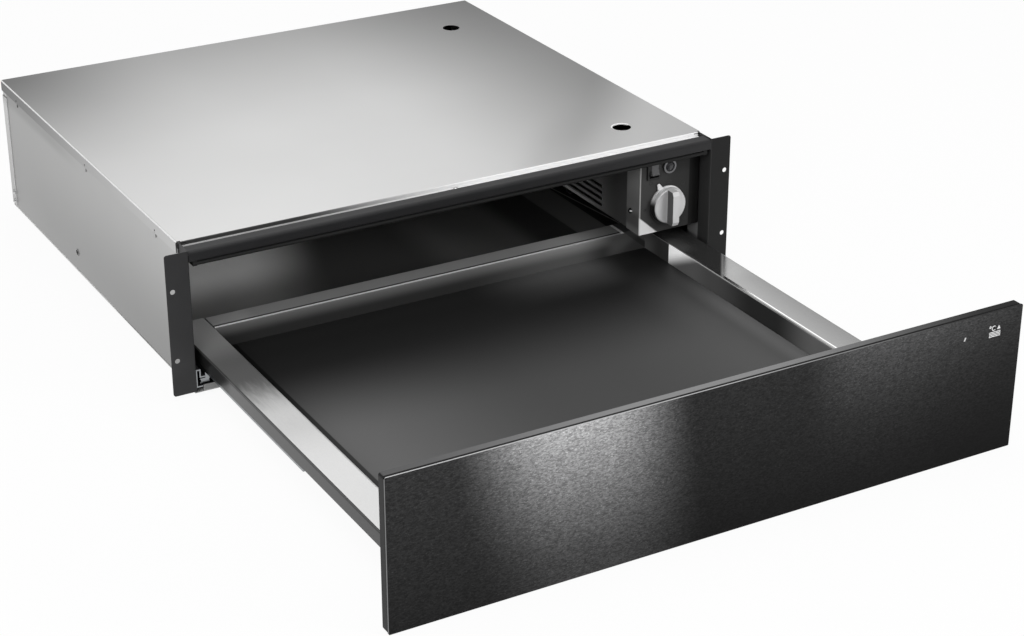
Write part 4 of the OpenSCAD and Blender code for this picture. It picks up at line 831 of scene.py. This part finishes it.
# marks round the knob: each a middle in metres and strokes in millimetres round it
marks = {
    "off": ((0.2144, 0.0981), [arc(0, 0, 1.7, 0, 360), [(0, -0.6), (0, 0.6)]]),
    "cup": ((0.2354, 0.0962), [[(-1.5, 1.4), (-1.1, -1.4), (1.1, -1.4), (1.5, 1.4), (-1.5, 1.4)],
                               arc(1.5, 0.2, 0.8, 80, -80, 8)]),
    "plate": ((0.2518, 0.0912), [arc(0, 0, 1.9, 0, 360), arc(0, 0, 1.1, 0, 360)]),
    "bowl": ((0.2546, 0.0533), [arc(0, 0.6, 1.9, 180, 360), [(-1.9, 0.6), (1.9, 0.6)],
                                arc(0, 1.6, 0.5, 0, 180, 6)]),
    "pot": ((0.2160, 0.0541), [[(-1.6, 1.2), (-1.6, -1.4), (1.6, -1.4), (1.6, 1.2), (-1.6, 1.2)],
                               [(-2.3, 0.6), (-1.6, 0.6)], [(1.6, 0.6), (2.3, 0.6)]]),
    "tray": ((0.2080, 0.0711), [[(-1.9, 0), (1.9, 0)], [(-1.4, -1.1), (1.4, -1.1)], [(-1.2, 0.8), (1.2, 0.8)]]),
}
dial = {"face": -0.2472, "film": 0.00005, "line": 0.0006}
printLines("dialMarks", dial, darkPrintAndShadow, "housing",
           [inMetres(middle, stroke) for middle, strokes in marks.values() for stroke in strokes])

# painted shadow of the knob: a dark wedge that follows the knob's edge and widens to its end
knobShadow = {"inside": 0.0196, "grow": 0.0038, "start": 185, "end": 275, "steps": 24}
knobShadowArc = (*knobMiddle, knobShadow["inside"], knobShadow["start"], knobShadow["end"], knobShadow["steps"])
printShape("dialKnobShadow", dial, dial["film"], darkPrintAndShadow, "housing",
           arc(*knobShadowArc) + list(reversed(arc(*knobShadowArc, knobShadow["grow"])[1:])))
print("marks printed round the knob")


def stageFloor():
    look = {"size": 6.0, "tone": 0.86, "glow": 0.94}
    low = cadBox[0][2]
    mesh = bpy.data.meshes.new("floor")
    corners = [(sx * look["size"], sy * look["size"], low) for sx, sy in ((-1, -1), (1, -1), (1, 1), (-1, 1))]
    mesh.from_pydata(corners, [], [(0, 1, 2, 3)])
    floor = bpy.data.objects.new("floor", mesh)
    bpy.context.scene.collection.objects.link(floor)
    material, wire, shader, place, axes = newFinish("paleFloor", look["tone"], 0.9, Specular_IOR_Level=0.1)
    path = wire.node("ShaderNodeLightPath").socket.node
    seen = Wire(wire.tree, path.outputs["Is Camera Ray"]) + Wire(wire.tree, path.outputs["Is Glossy Ray"])
    seen = seen + Wire(wire.tree, path.outputs["Is Transmission Ray"])
    glow = wire.node("ShaderNodeEmission", {}, {"Color": (1, 1, 1, 1), "Strength": 1.0})
    mixed = wire.node("ShaderNodeMixShader", {}, {0: seen.between(0.0, 1.0) * look["glow"],
                                                  1: Wire(wire.tree, shader.outputs[0]), 2: glow})
    wire.tree.links.new(mixed.socket, wire.tree.nodes["Material Output"].inputs[0])
    mesh.materials.append(material)


# white all round for the camera; for the metal a studio with one soft box, high at the back and a little to
# the right
def studioWorld():
    look = {"ambient": 0.45, "low": 0.26, "high": 0.75, "box": 1.05, "boxTurn": (9, 20, 26, 38),
            "boxFoot": (0.30, 0.42), "boxHead": (0.75, 0.95)}
    world = bpy.data.worlds.new("studio")
    world.use_nodes = True
    wire = Wire(world.node_tree)
    path = wire.node("ShaderNodeLightPath").socket.node
    camera = Wire(wire.tree, path.outputs["Is Camera Ray"])
    glossy = Wire(wire.tree, path.outputs["Is Glossy Ray"])
    plain = (camera + Wire(wire.tree, path.outputs["Is Transmission Ray"])).between(0.0, 1.0)
    direction = wire.node("ShaderNodeTexCoord", out=0)
    split = wire.node("ShaderNodeSeparateXYZ", {}, {0: direction}).socket.node
    x, y, up = (Wire(wire.tree, split.outputs[i]) for i in range(3))
    box = x.sum("ARCTAN2", y).hump(*(math.radians(turn) for turn in look["boxTurn"]))
    box = box * up.between(*look["boxFoot"]) * up.between(*look["boxHead"], 1.0, 0.0)
    level = up.between(-0.1, 0.8, look["low"], look["high"]) + box * look["box"]
    strength = plain + (1.0 - plain) * (glossy * level + (1.0 - glossy) * look["ambient"])
    shade = world.node_tree.nodes["Background"]
    shade.inputs[0].default_value = (1, 1, 1, 1)
    wire.tree.links.new(strength.socket, shade.inputs[1])
    bpy.context.scene.world = world


def lamp(name, place, target, size, power, seen):
    # an area lamp; one that isn't seen lights the part and shows in no reflection
    data = bpy.data.lights.new(name, "AREA")
    data.shape = "RECTANGLE"
    data.size, data.size_y = size
    data.energy = power
    made = bpy.data.objects.new(name, data)
    bpy.context.scene.collection.objects.link(made)
    made.location = place
    made.rotation_euler = (Vector(target) - Vector(place)).to_track_quat("-Z", "Y").to_euler()
    made.visible_glossy = seen


studio = {
    "overhead": ((-0.3, -0.6, 2.6), (0, -0.2, 0), (2.4, 2.4), 30, True),
    "frontLeft": ((-1.9, -2.0, 1.3), (0, -0.5, 0.05), (1.2, 1.2), 20, False),
    "frontRight": ((1.7, -2.2, 0.9), (0.1, -0.5, 0.05), (1.0, 0.7), 22, False),
}
stageFloor()
studioWorld()
for name, settings in studio.items():
    lamp(name, *settings)

view = {"place": (-0.91667, -1.97306, 0.93650), "turn": -29.474, "tilt": 25.528, "roll": -0.068, "lens": 80.13,
        "film": 36, "far": 30}
camera = bpy.data.objects.new("camera", bpy.data.cameras.new("camera"))
camera.data.lens = view["lens"]
camera.data.sensor_width = view["film"]
camera.data.clip_end = view["far"]
bpy.context.scene.collection.objects.link(camera)
camera.matrix_world = (Matrix.Translation(view["place"]) @ Matrix.Rotation(math.radians(view["turn"]), 4, "Z")
                       @ Matrix.Rotation(math.radians(90 - view["tilt"]), 4, "X")
                       @ Matrix.Rotation(math.radians(view["roll"]), 4, "Z"))
bpy.context.scene.camera = camera
bpy.context.scene.view_settings.view_transform = "Standard"
print("studio set")
